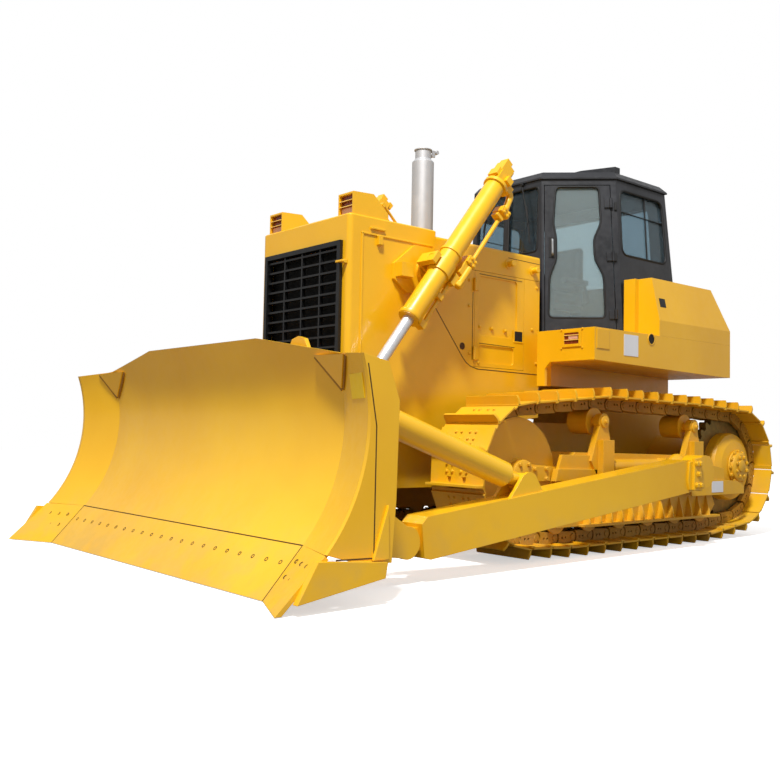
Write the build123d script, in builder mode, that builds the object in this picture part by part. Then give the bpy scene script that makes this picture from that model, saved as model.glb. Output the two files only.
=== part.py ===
from build123d import *
import os
from math import asin, atan2, cos, degrees, hypot, pi, radians, sin, sqrt, tan

# Crawler bulldozer with a semi-U blade and an enclosed cab, in millimetres.
# It faces -Y, its left side is +X, and the origin is on the ground below the middle of its length.

# Undercarriage sizes
track_gauge = 2140
shoe_width = 560
link_pitch = 228.6
shoe_count = 41
pin_to_rail = 50
pin_to_shoe = 50
shoe_plate = 15
grouser_height = 70
rail_spacing = 150
rail_width = 45
idler_y, idler_z = -652, 655
idler_pitch_radius = 498
sprocket_y, sprocket_z = 2469, 690
sprocket_teeth = 27
roller_count = 6
roller_first_y = -193
roller_spacing = 428
roller_radius = 115
carrier_places = ((303, 1088), (1685, 1068))
carrier_radius = 105
frame_beam_width = 330
frame_beam_low, frame_beam_high = 440, 800

# Blade and linkage sizes
blade_radius = 1100
blade_focus_y, blade_focus_z = -3783, 1040
blade_skin = 30
rib_setback = 4
blade_half = 1590
blade_wing = 400
blade_wing_angle = 20
blade_top = 1570
blade_shoulder = 1432
blade_corner = 1405
blade_joint_z = 300
edge_clearance = 6
edge_thickness = 32
overall_half_length = 3440
end_plate_thickness = 30
wear_strip = 45
trunnion_x, trunnion_y, trunnion_z = track_gauge / 2 + 470, 1307, 670
trunnion_ball = 95
arm_width = 200
arm_height = 280
arm_front_y, arm_front_z = -2190, 268
arm_eye_radius = 105
brace_foot_y, brace_foot_z = -1028, 621
brace_head_y, brace_head_z = -2490, 1102
brace_radius = 92
brace_eye_radius = 78
lug_gap = 57

# Lift cylinder sizes
cylinder_x = 800
cylinder_y, cylinder_z = -1153, 2245
rod_eye_y, rod_eye_z = -2443, 595
barrel_radius = 85
barrel_below, barrel_above = 535, 995
rod_radius = 44
rod_eye_radius = 92
rod_eye_width = 110
gimbal_shaft = 50
gimbal_pin = 30

# Main frame, hood and tank sizes
hull_half = 430
hull_low, hull_high, hull_rear_high = 520, 1080, 1399
hood_half = 593
hood_sheet = 30
hood_high = 2562
guard_front_y, guard_back_y = -1905, -1024
guard_high = 2605
guard_low = 980
seam_high, seam_low = 1983, 1505
seam_turn_y = -690
hood_end_y = 268
door_front_y, door_back_y = -560, 60
door_low, door_high = 1530, 2340
panel_gap = 3
grille_half = 515
grille_low, grille_high = 1290, 2405
fender_inner, fender_outer = 736, 1350
fender_front_y, fender_back_y = 76, 2207
fender_low, fender_high = 1594, 1865
tank_front_y = 1007
tank_high = 2395
tank_top_x = 1265
tank_fold_z = 2005

# Cab sizes
cab_floor, cab_top = 1886, 3350
cab_wall = 50
cab_foot = ((484, 435), (1004, 955), (1004, 1860))
cab_head = ((422, 477), (905, 960), (905, 1755))
leaf_front, leaf_back = 30, 60
door_gap = 6
glass_thickness = 6
glass_inset = 22
hinge_knuckle = 15

# Small fits
seat = 0.3
running = 0.1

os.makedirs("parts", exist_ok=True)
track_x = track_gauge / 2
tip_offset = pin_to_shoe + shoe_plate + grouser_height
sprocket_pitch_radius = link_pitch / (2 * sin(2 * pi / sprocket_teeth))
roller_z = tip_offset + pin_to_rail + roller_radius
roller_last_y = roller_first_y + (roller_count - 1) * roller_spacing


def save(piece, name):
    """Labels a finished piece and writes it under that name."""
    piece.label = name
    export_step(piece, f"parts/{name}.step")


def save_pair(piece, name):
    """Writes the left piece and its mirror image on the right."""
    save(piece, name + "_left")
    with BuildPart() as right:
        mirror(piece, about=Plane.YZ)
    save(right.part, name + "_right")


def save_both(piece, name):
    """Writes the left piece and its mirror image on the right as one node."""
    with BuildPart() as both:
        add(piece)
        mirror(piece, about=Plane.YZ)
    save(both.part, name)


def turned(profile, centre, direction=(1, 0, 0)):
    """Solid turned about a line through centre; the profile gives (along, radius) pairs."""
    along = Vector(*direction).normalized()
    side = Vector(0, 0, 1) if abs(along.Z) < 0.9 else Vector(1, 0, 0)
    with BuildPart(mode=Mode.PRIVATE) as piece:
        with BuildSketch(Plane(origin=centre, x_dir=along, z_dir=along.cross(side))):
            with BuildLine():
                Polyline(*profile, close=True)
            make_face()
        revolve(axis=Axis(centre, along))
    return piece.part


def plate(outline, start, thickness):
    """Flat plate with a (y, z) outline, from x = start towards +X."""
    with BuildPart(mode=Mode.PRIVATE) as piece:
        with BuildSketch(Plane.YZ.offset(start)):
            with BuildLine():
                Polyline(*outline, close=True)
            make_face()
        extrude(amount=thickness)
    return piece.part


# Track: the belt of pitch pins runs round idler, rollers, sprocket and carrier rollers
belt_wheels = [
    (idler_y, idler_z, idler_pitch_radius),
    (sprocket_y, sprocket_z, sprocket_pitch_radius),
    (roller_first_y, roller_z, roller_radius + pin_to_rail),
    (roller_last_y, roller_z, roller_radius + pin_to_rail),
] + [(y, z, carrier_radius + pin_to_rail) for y, z in carrier_places]


def belt(plane, grow):
    """Face inside a belt that runs round the wheels, grown outwards from the pins."""
    with BuildSketch(plane, mode=Mode.PRIVATE) as face:
        with BuildLine():
            for y, z, radius in belt_wheels:
                CenterArc((y, z), radius + grow, 0, 360)
        make_hull()
    return face.sketch


pin_line = belt(Plane.YZ, 0).face().outer_wire()
belt_middle = Vector(0, (idler_y + sprocket_y) / 2, 500)

with BuildPart() as track:
    for side in (-1, 1):
        with BuildSketch(Plane.YZ.offset(track_x + side * rail_spacing / 2)):
            add(belt(Plane.XY, pin_to_shoe + 4))
            add(belt(Plane.XY, -pin_to_rail), mode=Mode.SUBTRACT)
        extrude(amount=rail_width / 2, both=True)
    with BuildSketch(Plane.YZ.offset(track_x)):
        for shoe in range(shoe_count):
            place = pin_line @ ((shoe + 0.5) / shoe_count)
            heading = pin_line % ((shoe + 0.5) / shoe_count)
            if (place - belt_middle).cross(heading).X < 0:
                heading = -heading
            turn = degrees(atan2(heading.Z, heading.Y)) + 180
            with Locations(Location((place.Y, place.Z, 0), (0, 0, turn))):
                Polygon(
                    (-106, pin_to_shoe),
                    (112, pin_to_shoe - 6),
                    (112, pin_to_shoe + 8),
                    (-58, pin_to_shoe + shoe_plate),
                    (-80, tip_offset),
                    (-98, tip_offset),
                    (-106, pin_to_shoe + shoe_plate),
                    align=None,
                )
    extrude(amount=shoe_width / 2, both=True)
save_pair(track.part, "track")

# Idler, a cast wheel with a guide flange between the link rails and dished webs
idler_tread = idler_pitch_radius - pin_to_rail - seat
yoke_gap = 106
idler_hub = yoke_gap - seat
idler = turned(
    [
        (-idler_hub, 0), (-idler_hub, 120), (-32, 190), (-32, 360), (-98, 400), (-98, idler_tread),
        (-44, idler_tread), (-44, idler_tread + 12), (44, idler_tread + 12), (44, idler_tread),
        (98, idler_tread), (98, 400), (32, 360), (32, 190), (idler_hub, 120), (idler_hub, 0),
    ],
    (track_x, idler_y, idler_z),
)
save_both(idler, "idlers")

# Sprocket: a toothed rim whose teeth meet every second link pin
with BuildPart() as sprocket:
    with BuildSketch(Plane.YZ.offset(track_x)):
        with Locations((sprocket_y, sprocket_z)):
            Circle(sprocket_pitch_radius - 34)
            with PolarLocations(sprocket_pitch_radius - 40, sprocket_teeth, start_angle=3):
                Polygon((-10, -42), (30, -26), (56, -11), (56, 11), (30, 26), (-10, 42), align=None)
            Circle(332 + seat, mode=Mode.SUBTRACT)
    extrude(amount=38, both=True)
save_both(sprocket.part, "sprockets")

# Final drive: axle housing, case inside the sprocket rim and a bolted hub cover outside
final_drive = turned(
    [
        (hull_half + seat - track_x, 0), (hull_half + seat - track_x, 300), (-200, 300),
        (-150, 332), (120, 332), (150, 320), (185, 250), (205, 150), (250, 140), (262, 120), (262, 0),
    ],
    (track_x, sprocket_y, sprocket_z),
)
save_both(final_drive, "final_drives")

# Track rollers, flanged outside the link rails, with their shafts in the roller guards
with BuildPart() as track_rollers:
    for number in range(roller_count):
        add(
            turned(
                [
                    (-150, 0), (-150, 42), (-118, 42), (-118, 130), (-101, 130),
                    (-101, roller_radius - seat), (101, roller_radius - seat), (101, 130),
                    (118, 130), (118, 42), (150, 42), (150, 0),
                ],
                (track_x, roller_first_y + number * roller_spacing, roller_z),
            )
        )
save_both(track_rollers.part, "track_rollers")

# Carrier rollers, overhung on shafts that the posts outside them hold
post_x = track_x + 155
with BuildPart() as carrier_rollers:
    for y, z in carrier_places:
        add(
            turned(
                [
                    (-105, 0), (-105, 95), (-98, carrier_radius - seat), (98, carrier_radius - seat),
                    (98, 118), (112, 118), (112, 45), (215, 45), (215, 0),
                ],
                (track_x, y, z),
            )
        )
save_both(carrier_rollers.part, "carrier_rollers")

# Track frame: box beam, recoil housing, idler yoke, roller guards, posts and trunnion seat
beam_front_y = -150
beam_back_y = 2040
with BuildPart() as track_frame:
    with BuildSketch(Plane.YZ.offset(track_x)):
        with BuildLine():
            Polyline(
                (beam_front_y, frame_beam_low), (beam_front_y, 690), (-20, frame_beam_high + 30),
                (700, frame_beam_high + 20), (beam_back_y, frame_beam_high - 5), (beam_back_y + 60, 700),
                (beam_back_y + 60, 560), (beam_back_y, frame_beam_low), close=True,
            )
        make_face()
    extrude(amount=frame_beam_width / 2, both=True)
    # idler yoke arms with their bearing blocks
    for side in (-1, 1):
        with BuildSketch(Plane.YZ.offset(track_x + side * (yoke_gap + 22))):
            with BuildLine():
                Polyline(
                    (idler_y, idler_z - 90), (beam_front_y + 60, 520), (beam_front_y + 60, 700),
                    (idler_y, idler_z + 90), close=True,
                )
            make_face()
            with Locations((idler_y, idler_z)):
                Circle(110)
        extrude(amount=22, both=True)
    # roller guards
    for side in (-1, 1):
        with BuildSketch(Plane.YZ.offset(track_x + side * (150 + seat))):
            with BuildLine():
                Polyline(
                    (roller_first_y - 170, 320), (roller_first_y - 60, 225), (roller_last_y + 60, 225),
                    (roller_last_y + 170, 330), (roller_last_y + 100, frame_beam_low + 20),
                    (roller_first_y - 40, frame_beam_low + 20), close=True,
                )
            make_face()
        extrude(amount=side * 22)
    # carrier roller posts, with an eye round each shaft
    for y, z in carrier_places:
        with BuildSketch(Plane.YZ.offset(post_x)):
            with BuildLine():
                Polyline(
                    (y - 170, 760), (y - 60, z - 40), (y - 52, z), (y + 52, z), (y + 60, z - 60),
                    (y + 95, 900), (y + 95, 640), (y - 95, 640), close=True,
                )
            make_face()
            with Locations((y, z)):
                Circle(70)
                Circle(45 + seat, mode=Mode.SUBTRACT)
        extrude(amount=60)
    # outrigger that carries the push arm's ball
    with BuildSketch(Plane.YZ.offset(track_x + frame_beam_width / 2 - 5)):
        with BuildLine():
            Polyline(
                (trunnion_y - 230, 560), (trunnion_y - 150, frame_beam_high - 20),
                (trunnion_y + 150, frame_beam_high - 20), (trunnion_y + 1000, 655),
                (trunnion_y + 1060, 600), (trunnion_y + 1000, 480), (trunnion_y + 180, 470),
                (trunnion_y - 150, 500), close=True,
            )
        make_face()
    extrude(amount=95)
    # clearance round the sprocket and the final drive
    with Locations((track_x, sprocket_y, sprocket_z)):
        Cylinder(sprocket_pitch_radius + 40, 130, rotation=(0, 90, 0), mode=Mode.SUBTRACT)
        Cylinder(332 + seat, 700, rotation=(0, 90, 0), mode=Mode.SUBTRACT)
save_both(track_frame.part, "track_frames")

# Trunnion: flange, neck and ball that the push arm turns on
flange_x = track_x + frame_beam_width / 2 + 90
ball_x = trunnion_x - flange_x
trunnion = turned(
    [
        (seat, 0), (seat, 150), (30, 150), (ball_x - 70, 68), (ball_x - 30, trunnion_ball - 5),
        (ball_x - 12, trunnion_ball), (ball_x + 12, trunnion_ball), (ball_x + 30, trunnion_ball - 5),
        (ball_x + 62, 68), (ball_x + 62, 0),
    ],
    (flange_x, trunnion_y, trunnion_z),
)
save_both(trunnion, "trunnions")

# Main frame: welded hull between the tracks, steering case behind and the cross members
with BuildPart() as main_frame:
    with BuildSketch(Plane.YZ):
        with BuildLine():
            Polyline(
                (-1750, hull_high), (-1750, 760), (-1450, hull_low), (2600, hull_low), (2850, 620),
                (2850, 1180), (2700, hull_rear_high), (1500, hull_rear_high), (1380, hull_high), close=True,
            )
        make_face()
    extrude(amount=hull_half, both=True)
    # equalizer beam and pivot shaft reach into the track frames
    with Locations((0, 100, 640)):
        Box(2 * (track_x - frame_beam_width / 2 - seat), 180, 150)
    with Locations((0, 1900, 640)):
        Cylinder(95, 2 * (track_x - frame_beam_width / 2 - seat), rotation=(0, 90, 0))
save(main_frame.part, "main_frame")

# Drawbar: two jaws behind the steering case with a pin bore through both
drawbar_bore = 32
drawbar_pin_y = overall_half_length - 100
with BuildPart() as drawbar:
    with Locations((0, 2850 + seat + 60, 700)):
        Box(360, 120, 300)
    for level in (600, 760):
        with BuildSketch(Plane.XY.offset(level)):
            with BuildLine():
                Polyline(
                    (-150, 2900), (-100, drawbar_pin_y), (100, drawbar_pin_y), (150, 2900), close=True,
                )
            make_face()
            with Locations((0, drawbar_pin_y)):
                Circle(100)
                Circle(drawbar_bore, mode=Mode.SUBTRACT)
        extrude(amount=50)
save(drawbar.part, "drawbar")

# Radiator guard: front frame round the grille, roof and cheeks that run back below the hood sides
cheek = [
    (guard_front_y, guard_low), (guard_front_y, guard_high), (guard_back_y, guard_high),
    (guard_back_y, seam_high), (seam_turn_y, 1590), (seam_turn_y + 70, 1532),
    (seam_turn_y + 170, seam_low),
    (hood_end_y, seam_low), (hood_end_y, 1120), (-900, guard_low),
]
with BuildPart() as radiator_guard:
    for side in (-1, 1):
        with BuildSketch(Plane.YZ.offset(side * hood_half)):
            with BuildLine():
                Polyline(*cheek, close=True)
            make_face()
        extrude(amount=-side * hood_sheet)
    with Locations((0, (guard_front_y + guard_back_y) / 2, guard_high - hood_sheet / 2)):
        Box(2 * hood_half, guard_back_y - guard_front_y, hood_sheet)
    with BuildSketch(Plane.XZ.offset(-guard_front_y)):
        with Locations((0, (guard_low + guard_high) / 2)):
            Rectangle(2 * hood_half, guard_high - guard_low)
        with Locations((0, (grille_low + grille_high) / 2)):
            Rectangle(2 * grille_half, grille_high - grille_low, mode=Mode.SUBTRACT)
    extrude(amount=-60)
    with Locations((0, (guard_front_y - 1750 - seat) / 2, guard_low + 60)):
        Box(2 * hood_half, -1750 - seat - guard_front_y, 120)
    with Locations((0, -1400, hull_high + seat + 12)):
        Box(2 * hood_half, 1000, 24)
    corners = radiator_guard.edges().filter_by(Axis.Z).group_by(Axis.Y)[0]
    fillet([edge for edge in corners if abs(edge.center().X) > hood_half - 1], 40)
    chamfer(radiator_guard.faces().sort_by(Axis.Z)[-1].edges(), 10)
save(radiator_guard.part, "radiator_guard")

# Grille: a deep frame with upright posts and level slats
with BuildPart() as grille:
    with BuildSketch(Plane.XZ.offset(-guard_front_y - 32)):
        with Locations((0, (grille_low + grille_high) / 2)):
            Rectangle(2 * (grille_half - seat), grille_high - grille_low - 2 * seat)
            Rectangle(2 * (grille_half - 38), grille_high - grille_low - 76, mode=Mode.SUBTRACT)
    extrude(amount=60)
    with BuildSketch(Plane.XZ.offset(-guard_front_y - 22)):
        with Locations((0, (grille_low + grille_high) / 2)):
            with GridLocations(241, 10, 3, 1):
                Rectangle(16, grille_high - grille_low - 70)
            with GridLocations(10, 82, 1, 13):
                Rectangle(2 * (grille_half - 36), 16)
    extrude(amount=34)
save(grille.part, "grille")

# Radiator core behind the grille and the engine, a plain block
with BuildPart() as radiator:
    with Locations((0, guard_front_y + 145, 1731)):
        Box(2 * (hood_half - hood_sheet - seat), 160, 1250)
save(radiator.part, "radiator")
with BuildPart() as engine_block:
    with Locations((0, -320, hull_high + seat + 560)):
        Box(780, 1140, 1120)
    chamfer(engine_block.edges().filter_by(Axis.Y).group_by(Axis.Z)[-1], 120)
save(engine_block.part, "engine_block")

# Hood top: a folded cover with turned-down sides, in front of the cab
hood_start_y = guard_back_y + panel_gap / 10
with BuildPart() as hood_top:
    with Locations((0, (hood_start_y + hood_end_y) / 2, (door_high + 3 + hood_high) / 2)):
        Box(2 * hood_half, hood_end_y - hood_start_y, hood_high - door_high - 3)
    fillet(hood_top.edges().filter_by(Axis.Y).group_by(Axis.Z)[-1], 26)
    with Locations((0, (hood_start_y + hood_end_y) / 2, (door_high + hood_high) / 2 - hood_sheet)):
        Box(2 * (hood_half - hood_sheet), hood_end_y - hood_start_y + 10, hood_high - door_high,
            mode=Mode.SUBTRACT)
    stack_y = -636
    with Locations((0, stack_y, hood_high)):
        Cylinder(97 + seat, 120, mode=Mode.SUBTRACT)
save(hood_top.part, "hood_top")

# Fixed side panels in front of and behind the engine doors
with BuildPart() as hood_side:
    with BuildSketch(Plane.YZ.offset(hood_half - hood_sheet)):
        Polygon(
            (guard_back_y + seat, seam_high + 1), (guard_back_y + seat, door_high),
            (hood_end_y, door_high), (hood_end_y, seam_low + seat), (seam_turn_y + 170, seam_low + seat),
            (seam_turn_y + 70.2, 1532.4), (seam_turn_y + 0.3, 1590.5), align=None,
        )
        with Locations(((door_front_y + door_back_y) / 2, (door_low + door_high) / 2)):
            Rectangle(door_back_y - door_front_y + 2 * panel_gap, door_high - door_low + 2 * panel_gap,
                      mode=Mode.SUBTRACT)
    extrude(amount=hood_sheet)
save_both(hood_side.part, "hood_sides")

# Engine doors with their pressed panels and the front hinge barrel
hinge_radius = 12
hinge_y, hinge_x = door_front_y - 8, hood_half + hinge_radius + seat
with BuildPart() as engine_door:
    with BuildSketch(Plane.YZ.offset(hood_half - hood_sheet)):
        with Locations(((door_front_y + door_back_y) / 2, (door_low + door_high) / 2)):
            RectangleRounded(door_back_y - door_front_y, door_high - door_low, 12)
    extrude(amount=hood_sheet)
    with BuildSketch(Plane.YZ.offset(hood_half)):
        with Locations(((door_front_y + door_back_y) / 2 - 20, 2050)):
            RectangleRounded(480, 500, 30)
        with Locations(((door_front_y + door_back_y) / 2 - 40, 1640)):
            RectangleRounded(440, 150, 30)
    extrude(amount=-10, mode=Mode.SUBTRACT)
    for level in (1640, 2220):
        with Locations((hinge_x, hinge_y, level)):
            Cylinder(hinge_radius, 110)
        with Locations((hinge_x - 6, door_front_y + 19, level)):
            Box(14, 36, 100)
save_pair(engine_door.part, "engine_door")

# Headlamp housings on the guard's front corners, open at the front
lamp_inner, lamp_outer = 385, 570
lamp_front_y = -1858
with BuildPart() as headlamp:
    with BuildSketch(Plane.YZ.offset(lamp_inner)):
        with BuildLine():
            Polyline(
                (lamp_front_y, guard_high + seat), (lamp_front_y, 2780), (lamp_front_y + 200, 2790),
                (lamp_front_y + 350, 2660), (lamp_front_y + 350, guard_high + seat), close=True,
            )
        make_face()
    extrude(amount=lamp_outer - lamp_inner)
    fillet(headlamp.edges().filter_by(Axis.X).group_by(Axis.Z)[-1], 15)
    with Locations((( lamp_inner + lamp_outer) / 2, lamp_front_y, (guard_high + 2780) / 2)):
        Box(lamp_outer - lamp_inner - 24, 60, 2780 - guard_high - 30, mode=Mode.SUBTRACT)
save_both(headlamp.part, "headlamps")

# Exhaust stack and its hinged rain cap
stack_low, stack_shoulder, stack_high = 2300, 3395, 3470
with BuildPart() as exhaust_stack:
    add(
        turned(
            [
                (stack_low, 0), (stack_low, 97), (stack_shoulder - 30, 97), (stack_shoulder, 71),
                (stack_high, 71), (stack_high, 0),
            ],
            (0, stack_y, 0), (0, 0, 1),
        )
    )
    with Locations((0, stack_y, stack_high)):
        Cylinder(65, 900, mode=Mode.SUBTRACT)
    with Locations((0, stack_y + 75, stack_high - 35)):
        Box(84, 30, 20)
    with Locations((36 + seat, stack_y + 92, stack_high - 15), (-36 - seat, stack_y + 92, stack_high - 15)):
        Box(12, 30, 60)
save(exhaust_stack.part, "exhaust_stack")
cap_hinge_y, cap_hinge_z = stack_y + 92, stack_high + 10
with BuildPart() as rain_cap:
    with Locations((0, stack_y, stack_high + 5 + seat)):
        Cylinder(80, 8)
    with Locations((0, stack_y + 70, stack_high + 12)):
        Box(26, 60, 8)
    with Locations((0, cap_hinge_y, cap_hinge_z)):
        Cylinder(9, 60, rotation=(0, 90, 0))
    with Locations((0, cap_hinge_y + 30, cap_hinge_z + 6)):
        Box(20, 60, 10)
    with Locations((0, cap_hinge_y + 62, cap_hinge_z + 6)):
        Cylinder(18, 46, rotation=(0, 90, 0))
save(rain_cap.part, "rain_cap")

# Lift cylinders: a boss on the guard, a yoke that turns in it, and a barrel pinned in the yoke's arms
stroke_angle = degrees(atan2(cylinder_z - rod_eye_z, cylinder_y - rod_eye_y))
cylinder_length = hypot(cylinder_z - rod_eye_z, cylinder_y - rod_eye_y)
uphill = (0, cos(radians(stroke_angle)), sin(radians(stroke_angle)))
pivot = (cylinder_x, cylinder_y, cylinder_z)
across = (0, uphill[2], -uphill[1])
collar_radius = barrel_radius + 12
yoke_inner = cylinder_x - collar_radius - 31
yoke_reach = collar_radius + 51
boss_end = yoke_inner - 4
with BuildPart() as bracket:
    with BuildSketch(Plane.YZ.offset(hood_half + seat)):
        Polygon(
            (cylinder_y - 330, cylinder_z + 30), (cylinder_y - 120, cylinder_z + 200),
            (cylinder_y + 90, cylinder_z + 200), (cylinder_y + 150, cylinder_z + 80),
            (cylinder_y + 120, cylinder_z - 150), (cylinder_y - 190, cylinder_z - 190),
            (cylinder_y - 330, cylinder_z - 90), align=None,
        )
    extrude(amount=30)
    with BuildSketch(Plane.YZ.offset(hood_half + seat + 20)):
        with Locations((cylinder_y - 255, cylinder_z - 20)):
            Rectangle(120, 110)
    extrude(amount=86)
    with Locations((hood_half + seat, cylinder_y, cylinder_z)):
        Cylinder(105, boss_end - hood_half - seat, rotation=(0, 90, 0),
                 align=(Align.CENTER, Align.CENTER, Align.MIN))
        Cylinder(gimbal_shaft + running, 400, rotation=(0, 90, 0), mode=Mode.SUBTRACT)
save_both(bracket.part, "cylinder_brackets")

with BuildPart() as lift_yoke:
    with BuildSketch(Plane(origin=pivot, x_dir=(1, 0, 0), z_dir=uphill).offset(-50)):
        with Locations((yoke_inner + 14 - cylinder_x, 0)):
            Rectangle(28, 2 * yoke_reach)
        for side in (-1, 1):
            with Locations(((yoke_inner + 60 - cylinder_x) / 2, side * (yoke_reach - 22.5))):
                Rectangle(cylinder_x + 60 - yoke_inner, 45)
    extrude(amount=100)
    with Locations((yoke_inner + 5, cylinder_y, cylinder_z)):
        Cylinder(gimbal_shaft, yoke_inner + 5 - hood_half - 2, rotation=(0, 90, 0),
                 align=(Align.CENTER, Align.CENTER, Align.MAX))
    with Locations(Plane(origin=pivot, x_dir=(1, 0, 0), z_dir=across)):
        Cylinder(gimbal_pin + seat, 2 * yoke_reach + 10, mode=Mode.SUBTRACT)
save_pair(lift_yoke.part, "lift_yoke")

with BuildPart() as lift_barrel:
    add(
        turned(
            [
                (-barrel_below, 0), (-barrel_below, barrel_radius), (-60, barrel_radius),
                (-60, collar_radius), (60, collar_radius), (60, barrel_radius),
                (barrel_above - 30, barrel_radius), (barrel_above - 30, 102), (barrel_above, 102),
                (barrel_above, 0),
            ],
            pivot, uphill,
        )
    )
    with Locations(Plane(origin=pivot, x_dir=(1, 0, 0), z_dir=across)):
        Cylinder(gimbal_pin, 2 * (collar_radius + 48))
    with BuildSketch(Plane(origin=pivot, x_dir=(1, 0, 0), z_dir=uphill).offset(barrel_above - 1)):
        with Locations((0, 8)):
            Rectangle(130, 150)
    extrude(amount=110)
    with BuildSketch(Plane(origin=pivot, x_dir=(1, 0, 0), z_dir=uphill).offset(barrel_above + 20)):
        with Locations((0, 85)):
            Rectangle(90, 110)
    extrude(amount=70)
    add(turned([(-barrel_below + 60, 0), (-barrel_below + 60, 70), (barrel_above - 20, 70),
                (barrel_above - 20, 0)], pivot, uphill), mode=Mode.SUBTRACT)
    add(turned([(-barrel_below - 5, 0), (-barrel_below - 5, rod_radius + running),
                (0, rod_radius + running), (0, 0)], pivot, uphill), mode=Mode.SUBTRACT)
save_pair(lift_barrel.part, "lift_barrel")

with BuildPart() as lift_rod:
    add(
        turned(
            [
                (-cylinder_length + 70, 0), (-cylinder_length + 70, rod_radius), (-70, rod_radius),
                (-70, 69.5), (-10, 69.5), (-10, 0),
            ],
            pivot, uphill,
        )
    )
    with Locations((cylinder_x, rod_eye_y, rod_eye_z)):
        Cylinder(rod_eye_radius, rod_eye_width, rotation=(0, 90, 0))
save_pair(lift_rod.part, "lift_rod")

# Blade: rolled skin with wings, cut to the sloping top line
skin_low = degrees(asin((blade_joint_z - blade_focus_z) / blade_radius))
skin_high = degrees(asin((blade_top + 40 - blade_focus_z) / blade_radius))
focus = (blade_focus_y, blade_focus_z)
blade_end = blade_half + blade_wing
wing_lean = tan(radians(blade_wing_angle))


def skin_section(start):
    """Curved section of the blade skin at a crosswise station."""
    with BuildSketch(Plane.YZ.offset(start), mode=Mode.PRIVATE) as section:
        with BuildLine():
            face = CenterArc(focus, blade_radius, skin_low, skin_high - skin_low)
            back = CenterArc(focus, blade_radius + blade_skin, skin_low, skin_high - skin_low)
            Line(face @ 0, back @ 0)
            Line(face @ 1, back @ 1)
        make_face()
    return section.sketch


with BuildPart() as moldboard:
    extrude(skin_section(-blade_half), amount=2 * blade_half, dir=(1, 0, 0))
    wing_length = (blade_wing + 20) * hypot(1, wing_lean)
    extrude(skin_section(blade_half), amount=wing_length, dir=(1, -wing_lean, 0))
    extrude(skin_section(-blade_half), amount=wing_length, dir=(-1, -wing_lean, 0))
    with BuildSketch(Plane.XZ.offset(2300)):
        with BuildLine():
            Polyline(
                (-blade_end, 200), (blade_end, 200), (blade_end, blade_corner),
                (blade_half + 50, blade_shoulder), (780, blade_top), (-780, blade_top),
                (-blade_half - 50, blade_shoulder), (-blade_end, blade_corner), close=True,
            )
        make_face()
    extrude(amount=1400, mode=Mode.INTERSECT)
save(moldboard.part, "moldboard")

# Cutting edge, tangent to the foot of the skin, and the end bits that flare forward with the wings
edge_angle = radians(skin_low)
skin_foot = (blade_focus_y + blade_radius * cos(edge_angle), blade_joint_z)
edge_down = (sin(edge_angle), -cos(edge_angle))
edge_through = (cos(edge_angle), sin(edge_angle))
edge_start = (skin_foot[0] + seat * edge_down[0], skin_foot[1] + seat * edge_down[1])
edge_tip_y = skin_foot[0] + (blade_joint_z - edge_clearance) * tan(edge_angle)
edge_back = edge_thickness / cos(edge_angle)
edge_top = (
    edge_start[0] + edge_thickness * edge_through[0], edge_start[1] + edge_thickness * edge_through[1]
)
edge_profile = [
    edge_start, (edge_tip_y, edge_clearance), (edge_tip_y + edge_back, edge_clearance), edge_top
]
save(plate(edge_profile, -blade_half + 1, 2 * blade_half - 2), "cutting_edge")
bit_end = blade_end + end_plate_thickness - seat
bit_top_shift = -(bit_end - blade_half) * wing_lean
with BuildPart() as end_bit:
    with BuildSketch(Plane.YZ.offset(blade_half + 1)):
        Polygon(*edge_profile, align=None)
    with BuildSketch(Plane.YZ.offset(bit_end)):
        Polygon(
            (edge_start[0] + bit_top_shift, edge_start[1] - 2),
            (-overall_half_length, edge_clearance), (edge_back - overall_half_length, edge_clearance),
            (edge_top[0] + bit_top_shift, edge_top[1] - 2), align=None,
        )
    loft()
save_both(end_bit.part, "end_bits")

# End plates that close the wings, with a wear strip along the foot
wing_back = blade_wing * tan(radians(blade_wing_angle))
end_front_y = [
    blade_focus_y - wing_back + sqrt(blade_radius ** 2 - (level - blade_focus_z) ** 2)
    for level in (blade_joint_z, blade_focus_z, blade_corner)
]
with BuildPart() as end_plate:
    with BuildSketch(Plane.YZ.offset(blade_end + seat)):
        with BuildLine():
            ThreePointArc(
                (end_front_y[0], blade_joint_z), (end_front_y[1], blade_focus_z),
                (end_front_y[2], blade_corner),
            )
            Polyline(
                (end_front_y[2], blade_corner), (-2705, 1368), (-2617, 1146), (-2630, 578), (-2656, 226),
                (-2900, 240), (end_front_y[0], blade_joint_z),
            )
        make_face()
    extrude(amount=end_plate_thickness - seat)
    with BuildSketch(Plane.YZ.offset(blade_end + end_plate_thickness)):
        Polygon((-3330, 60), (-3200, 275), (-2720, 239), (-2737, 152), align=None)
    extrude(amount=wear_strip)
save_both(end_plate.part, "end_plates")

# Blade back: box rails and ribs behind the skin, with the lugs for arms, brace and cylinders
def rail_section(start):
    """Section of the three level rails behind the skin at a crosswise station."""
    with BuildSketch(Plane.YZ.offset(start), mode=Mode.PRIVATE) as section:
        with Locations((-2815, 400)):
            Rectangle(290, 220)
        with Locations((-2625, 760)):
            Rectangle(170, 170)
        with Locations((-2605, 1260)):
            Rectangle(170, 150)
        with Locations(focus):
            Circle(blade_radius + blade_skin + seat, mode=Mode.SUBTRACT)
    return section.sketch


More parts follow.
